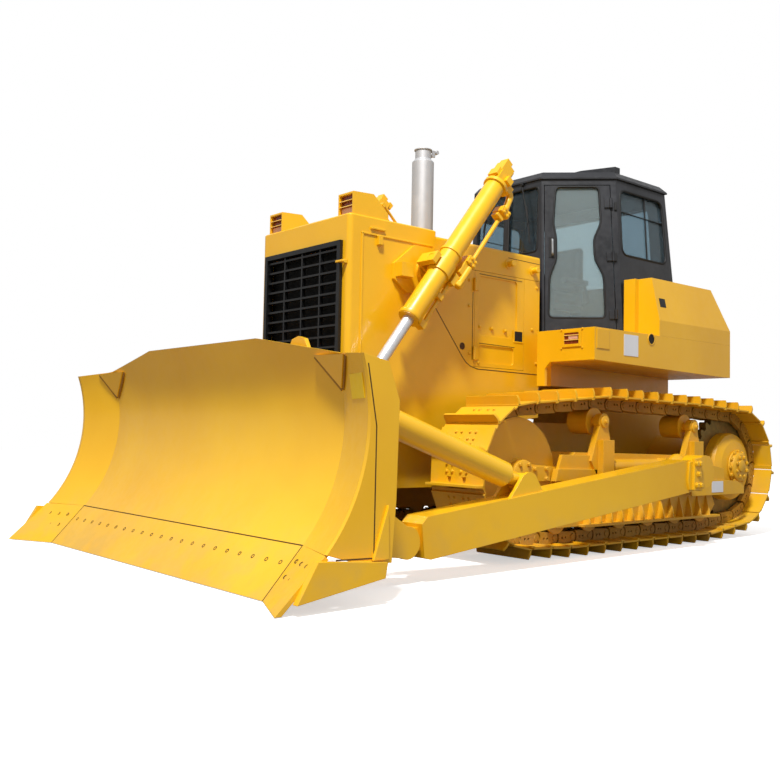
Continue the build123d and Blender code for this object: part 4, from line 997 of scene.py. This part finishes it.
seat_pad = cushion("seat_cushion", (-0.245, 0.855, 2.280), (0.245, 1.255, 2.385))
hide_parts("operator_seat")
cushion("seat_back_cushion", (-0.235, 1.285, 2.400), (0.235, 1.385, 2.865))
armrest = both([
    block((0.275, 0.950, 2.452), (0.340, 1.310, 2.505)),
    tube([(0.21, 1.36, 2.28), (0.305, 1.36, 2.30), (0.305, 1.28, 2.46)], 0.016, 0.03),
])
seat_frame = armrest + [
    block((-0.21, 0.870, 1.886), (0.21, 1.290, 1.930)),
    block((-0.17, 0.930, 1.930), (0.17, 1.240, 2.200)),
    block((-0.23, 0.860, 2.200), (0.23, 1.330, 2.262)),
    block((-0.20, 1.385, 2.230), (0.20, 1.402, 2.840)),
]
piece("seat_frame", seat_frame, console_plastic, edge=0.012)
KNOB_AT = (0.20, 0.650, 2.600)
knob = [(0.0, 0.010), (0.008, 0.020), (0.030, 0.022), (0.040, 0.010)]
controls = both([
    tube([(0.20, 0.660, 2.470), KNOB_AT], 0.008, 0.02, 10), turned(knob, KNOB_AT, (0, 0, 1), 16)
])
dial = [(-0.004, 0.036), (0.010, 0.036), (0.012, 0.030)]
controls += [turned(dial, (x, 0.700, 2.415), (0, 0.65, 0.76), 24) for x in (-0.09, 0.0, 0.09)]
piece("console_controls", controls, rubber)

# Fenders carry a lamp in front, a filler hole and blank plates.
# The lamp sits in a folded rim with two slats, and the plates are thin blank sheet.
# Plate white is a cool flat white, and plate black a slightly shiny black.
plate_white = satin("plate_white_film", "D5D5DA", "DEDEE2", 0.5)
plate_black = satin("plate_black_film", "0B0B0B", "141414", 0.4)
FENDER_X = 1.35
FILLER = (FENDER_X, 0.880, 1.825)
lamp_outline = [(1.015, 1.710), (1.215, 1.710), (1.215, 1.850), (1.015, 1.850)]
lamp_mouth = [(1.040, 1.735), (1.190, 1.735), (1.190, 1.830), (1.040, 1.830)]
fender_slats = [
    prism([(0.062, z), (0.062, z + 0.005), (0.074, z + 0.010), (0.074, z + 0.004)], 1.040, 1.190, 0)
    for z in (1.765, 1.805)
]
box_lid = block((FENDER_X - 0.002, 0.100, 1.690), (FENDER_X + 0.006, 0.270, 1.855))
filler_ring = [(-0.002, 0.044), (0.005, 0.044), (0.005, 0.052), (-0.002, 0.052)]
for name, shapes, material, edge in (
    ("fender_lamp_rims", [pierced(lamp_outline, [lamp_mouth], 0.077, 0.066, 1)], panel_gold, 0.002),
    ("fender_lamp_lenses", [block((1.038, 0.070, 1.733), (1.192, 0.0765, 1.832))], lens_plastic, 0.0),
    ("fender_lamp_reflectors", [block((1.085, 0.067, 1.775), (1.180, 0.071, 1.805))], lens_pale, 0.0),
    ("fender_lamp_slats", fender_slats, slat_gold, 0.0),
    # The filler hole is a flat disc of painted shade.
    ("fender_filler_holes", [boss([(-0.002, 0.044), (0.002, 0.044)], *FILLER)], dark_recess, 0.0),
    ("fender_filler_rims", [boss(filler_ring, *FILLER, 32, True)], panel_gold, 0.0),
    ("fender_box_lids", [box_lid], panel_gold, 0.003),
):
    piece(name, both(shapes), material, edge=edge)
fender_plate = [block((FENDER_X, 0.478, 1.655), (FENDER_X + 0.003, 0.683, 1.837))]
piece("fender_white_plates", fender_plate, plate_white)
frame_plate = [block((1.337, 1.905, 0.455), (1.340, 2.105, 0.560))]
piece("frame_white_plate", frame_plate, plate_white)
small_plate = block((-0.045, -0.040, 0.0), (0.045, 0.040, 0.003))
tank_plate = [placed(small_plate, (1.3135, 1.105, 2.172), (0.977, 0.0, 0.213), (0, 1, 0))]
piece("tank_black_plate", tank_plate, plate_black)
corner_spots = [
    ((side * x, 0.076, z), (0, -1, 0), (1, 0, 0))
    for side, _ in SIDES
    for x in (1.005, 1.225)
    for z in (1.700, 1.858)
]
repeat("fender_lamp_bolts", hex_bolt(0.008, 0.008), corner_spots, panel_gold)

# The blade is rolled plate with a box frame behind it, carried by two push arms.
# Its cutting edge and end bits are bolted on from the front with flush plough bolts.
# Blade gold is the cleanest and brightest yellow, with wide soft reflections.
blade_gold = enamel("blade_gold_enamel", "E7AD0A", "F1BB14", 0.34, 0.5, 0.35)
BLADE = (
    "moldboard", "blade_back", "end_plates", "push_arms", "brace", "tilt_cylinder", "cutting_edge", "end_bits",
)
paint(blade_gold, *BLADE)
# Bolt shadow draws each plough bolt as a dark ring.
bolt_shadow = satin("plough_bolt_shadow", "4A3008", "7A5410", 0.5)
EDGE_TOP = Vector((-2.9693, 0.2998))
EDGE_TIP = Vector((-3.2364, 0.0060))
CREASE_X = 1.59
WING_LEAN = 0.364
edge_down = (EDGE_TIP - EDGE_TOP).normalized()
edge_normal = Vector((edge_down.y, -edge_down.x))
edge_facing = (0, edge_normal.x, edge_normal.y)
bolt_ring = [(-0.001, 0.015), (0.0015, 0.015), (0.0015, 0.009), (-0.001, 0.009)]
plough_bolt = [turned(bolt_ring, (0, 0, 0), (0, 0, 1), 14, True)]
bolt_row = EDGE_TOP + edge_down * 0.135
edge_spots = [((-1.5 + number * 0.15, *bolt_row), edge_facing, (1, 0, 0)) for number in range(21)]
repeat("edge_bolts", plough_bolt, edge_spots, bolt_shadow, "blade")
bit_spots = []
for down in (0.10, 0.21):
    place = EDGE_TOP + edge_down * down
    for across in (0.09, 0.19, 0.29):
        y = place.x - across * WING_LEAN - 0.004
        bit_spots += [((side * (CREASE_X + across), y, place.y), edge_facing, (1, 0, 0)) for side, _ in SIDES]
repeat("end_bit_bolts", plough_bolt, bit_spots, bolt_shadow, "blade")


def skin_y(z):
    """Where the front of the rolled skin lies at a height."""
    return -3.783 + math.sqrt(1.1**2 - (z - 1.04) ** 2)


def wing_point(x, z, out):
    """Point in front of the skin; beyond the crease the wing leans forward."""
    return (x, skin_y(z) - max(0.0, x - CREASE_X) * WING_LEAN - out, z)


def skin_patch(outline, outer, inner):
    """Closed plate that follows the skin's front, between two distances ahead of it."""
    count = len(outline)
    points = [wing_point(x, z, out) for out in (outer, inner) for x, z in outline]
    faces = [tuple(range(count)), tuple(reversed(range(count, 2 * count)))]
    faces += [(i, (i + 1) % count, (i + 1) % count + count, i + count) for i in range(count)]
    return points, faces


LEG_HIGH, LEG_FOOT, LEG_WING = (1.375, 1.430), (CREASE_X, 1.225), (1.735, 1.418)
gusset = [skin_patch([LEG_HIGH, LEG_FOOT, LEG_WING], 0.016, -0.004)]
piece("blade_corner_gussets", both(gusset), blade_gold, "blade")
# Weld brown is the shaded line along each weld.
weld_brown = satin("weld_shadow_brown", "8A5C0A", "A8740F", 0.6)
welds = []
for (ax, az), (bx, bz) in ((LEG_HIGH, LEG_FOOT), (LEG_FOOT, LEG_WING)):
    heading = Vector((bx - ax, bz - az)).normalized()
    below = Vector((-heading.y, heading.x)) * 0.022
    if below.y > 0:
        below = -below
    quad = [(ax, az), (bx, bz), (bx + below.x, bz + below.y), (ax + below.x, az + below.y)]
    welds.append(skin_patch(quad, 0.007, -0.004))
piece("blade_gusset_welds", both(welds), weld_brown, "blade")
# The gap above the cutting edge and its joints with the end bits are drawn as lines of painted shade.
y, z = EDGE_TOP
long_seam = block((-CREASE_X, y - 0.0035, z - 0.004), (CREASE_X, y + 0.001, z + 0.003))
joint_outline = [
    tuple(EDGE_TOP + edge_normal * 0.002), tuple(EDGE_TIP + edge_normal * 0.002),
    tuple(EDGE_TIP - edge_normal * 0.001), tuple(EDGE_TOP - edge_normal * 0.001),
]
joint_line = prism(joint_outline, CREASE_X + 0.0025, CREASE_X - 0.0025)
piece("edge_seams", [long_seam] + both([joint_line]), seam_brown, "blade")
PLATE_X = 2.020
# The end plate's seams are drawn as lines of painted shade.
plate_seams = strip([(-2.855, 1.346), (-2.787, 1.000), (-2.789, 0.262)], PLATE_X, 0.008)
plate_seams += strip([(-3.050, 0.268), (-2.800, 0.262)], PLATE_X, 0.008)
piece("end_plate_seams", both(plate_seams), seam_brown, "blade")
foot_gusset = prism([(-2.805, 0.250), (-2.690, 0.250), (-2.700, 0.555)], PLATE_X - 0.002, PLATE_X + 0.020)
piece("end_plate_gussets", both([foot_gusset]), blade_gold, "blade", 0.003)
# Blank plate yellow is a purer lemon than the paint round it.
label_yellow = satin("blank_plate_yellow", "F2C80C", "F6D21A", 0.4)
blank_outline = [(1.740, 1.155), (1.953, 1.155), (1.953, 1.300), (1.740, 1.300)]
blank = [skin_patch(blank_outline, 0.004, -0.002)]
piece("end_plate_blank", blank, label_yellow, "blade")
ARM_X = 1.64
cap_outline = [(0.985, 0.600), (1.005, 0.760), (1.200, 0.790), (1.230, 0.560), (1.190, 0.505), (1.010, 0.520)]
lug_outline = [(1.040, 0.520), (1.050, 0.790), (1.150, 0.800), (1.170, 0.515)]
arm_end = [prism(cap_outline, ARM_X - 0.004, ARM_X + 0.018), prism(lug_outline, ARM_X + 0.010, ARM_X + 0.040)]
piece("arm_end_caps", both(arm_end), blade_gold, "blade", 0.005)
arm_places = [(1.075, 0.745), (1.130, 0.745), (1.080, 0.560), (1.140, 0.560), (1.105, 0.655)]
arm_spots = side_spots(ARM_X + 0.040, arm_places)
repeat("arm_cap_bolts", hex_bolt(0.022, 0.020), arm_spots, blade_gold, "blade")

# The machine stands on a pale studio floor under one soft lamp and an even white sky.
# Straight from the camera both floor and backdrop show as plain white paper.
half = 30.0
floor_mesh = bpy.data.meshes.new("studio_floor")
floor_corners = [(-half, -half, 0), (half, -half, 0), (half, half, 0), (-half, half, 0)]
floor_mesh.from_pydata(floor_corners, [], [(0, 1, 2, 3)])
studio_floor = add_object("studio_floor", floor_mesh)
floor_material, floor_tree, floor_shader = start_material("studio_floor_paint")
floor_shader.inputs["Roughness"].default_value = 0.9
floor_rays = add_node(floor_tree, "ShaderNodeLightPath")
floor_colours = {0: floor_rays.outputs["Is Camera Ray"], 6: linear("8E8A80"), 7: linear("FFFFFF")}
floor_tone = add_node(floor_tree, "ShaderNodeMix", floor_colours, data_type="RGBA")
floor_tree.links.new(floor_tone.outputs[2], floor_shader.inputs["Base Color"])
floor_shader.inputs["Emission Color"].default_value = (1.0, 1.0, 1.0, 1.0)
floor_glow = add_node(
    floor_tree, "ShaderNodeMath", {0: floor_rays.outputs["Is Camera Ray"], 1: 0.55}, operation="MULTIPLY"
)
floor_tree.links.new(floor_glow.outputs["Value"], floor_shader.inputs["Emission Strength"])
floor_mesh.materials.append(floor_material)

world = bpy.data.worlds.new("studio_white")
bpy.context.scene.world = world
world.use_nodes = True
sky = world.node_tree
sky.nodes.clear()
rays = add_node(sky, "ShaderNodeLightPath")
soft_light = add_node(sky, "ShaderNodeBackground", {"Color": (1.0, 1.0, 1.0, 1.0), "Strength": 0.52})
paper = add_node(sky, "ShaderNodeBackground", {"Color": (1.0, 1.0, 1.0, 1.0), "Strength": 1.0})
straight = add_node(
    sky,
    "ShaderNodeMath",
    {0: rays.outputs["Is Camera Ray"], 1: rays.outputs["Is Transmission Ray"]},
    operation="MAXIMUM",
)
shown = add_node(
    sky,
    "ShaderNodeMixShader",
    {0: straight.outputs["Value"], 1: soft_light.outputs["Background"], 2: paper.outputs["Background"]},
)
add_node(sky, "ShaderNodeOutputWorld", {"Surface": shown.outputs["Shader"]})


key_data = bpy.data.lights.new("key_lamp", "AREA")
key_data.size = 1.4
key_data.energy = 2350.0
key_lamp = add_object("key_lamp", key_data)
LAMP_PLACE, LAMP_AIM = Vector((5.2, -6.6, 12.5)), Vector((0.3, -0.3, 1.2))
key_lamp.location = LAMP_PLACE
key_lamp.rotation_euler = (LAMP_AIM - LAMP_PLACE).to_track_quat("-Z", "Y").to_euler()

# The camera stands low near the blade's left corner and looks slightly up.
# Its place, angles and focal length are those solved from the photograph.
CAMERA_PLACE = (6.014, -6.101, 0.965)
AZIMUTH, ELEVATION, ROLL = 49.456, -2.685, 1.113
FOCAL_PIXELS = 924.2
PICTURE_PIXELS = 780
CENTRE_PIXEL = (391.3, 388.9)
azimuth, elevation, roll = (math.radians(v) for v in (AZIMUTH, ELEVATION, ROLL))
back = Vector(
    (math.sin(azimuth) * math.cos(elevation), -math.cos(azimuth) * math.cos(elevation), math.sin(elevation))
)
level_right = (-back).cross(Vector((0, 0, 1))).normalized()
level_up = level_right.cross(-back)
right = level_right * math.cos(roll) + level_up * math.sin(roll)
up = level_up * math.cos(roll) - level_right * math.sin(roll)
camera_data = bpy.data.cameras.new("photo_camera")
camera_data.sensor_width = 36.0
camera_data.lens = FOCAL_PIXELS / PICTURE_PIXELS * camera_data.sensor_width
camera_data.shift_x = 0.5 - CENTRE_PIXEL[0] / PICTURE_PIXELS
camera_data.shift_y = CENTRE_PIXEL[1] / PICTURE_PIXELS - 0.5
camera_data.clip_end = 200.0
camera = add_object("photo_camera", camera_data)
turn_matrix = Matrix((right, up, back)).transposed().to_4x4()
camera.matrix_world = Matrix.Translation(CAMERA_PLACE) @ turn_matrix
bpy.context.scene.camera = camera
bpy.context.scene.view_settings.view_transform = "Standard"
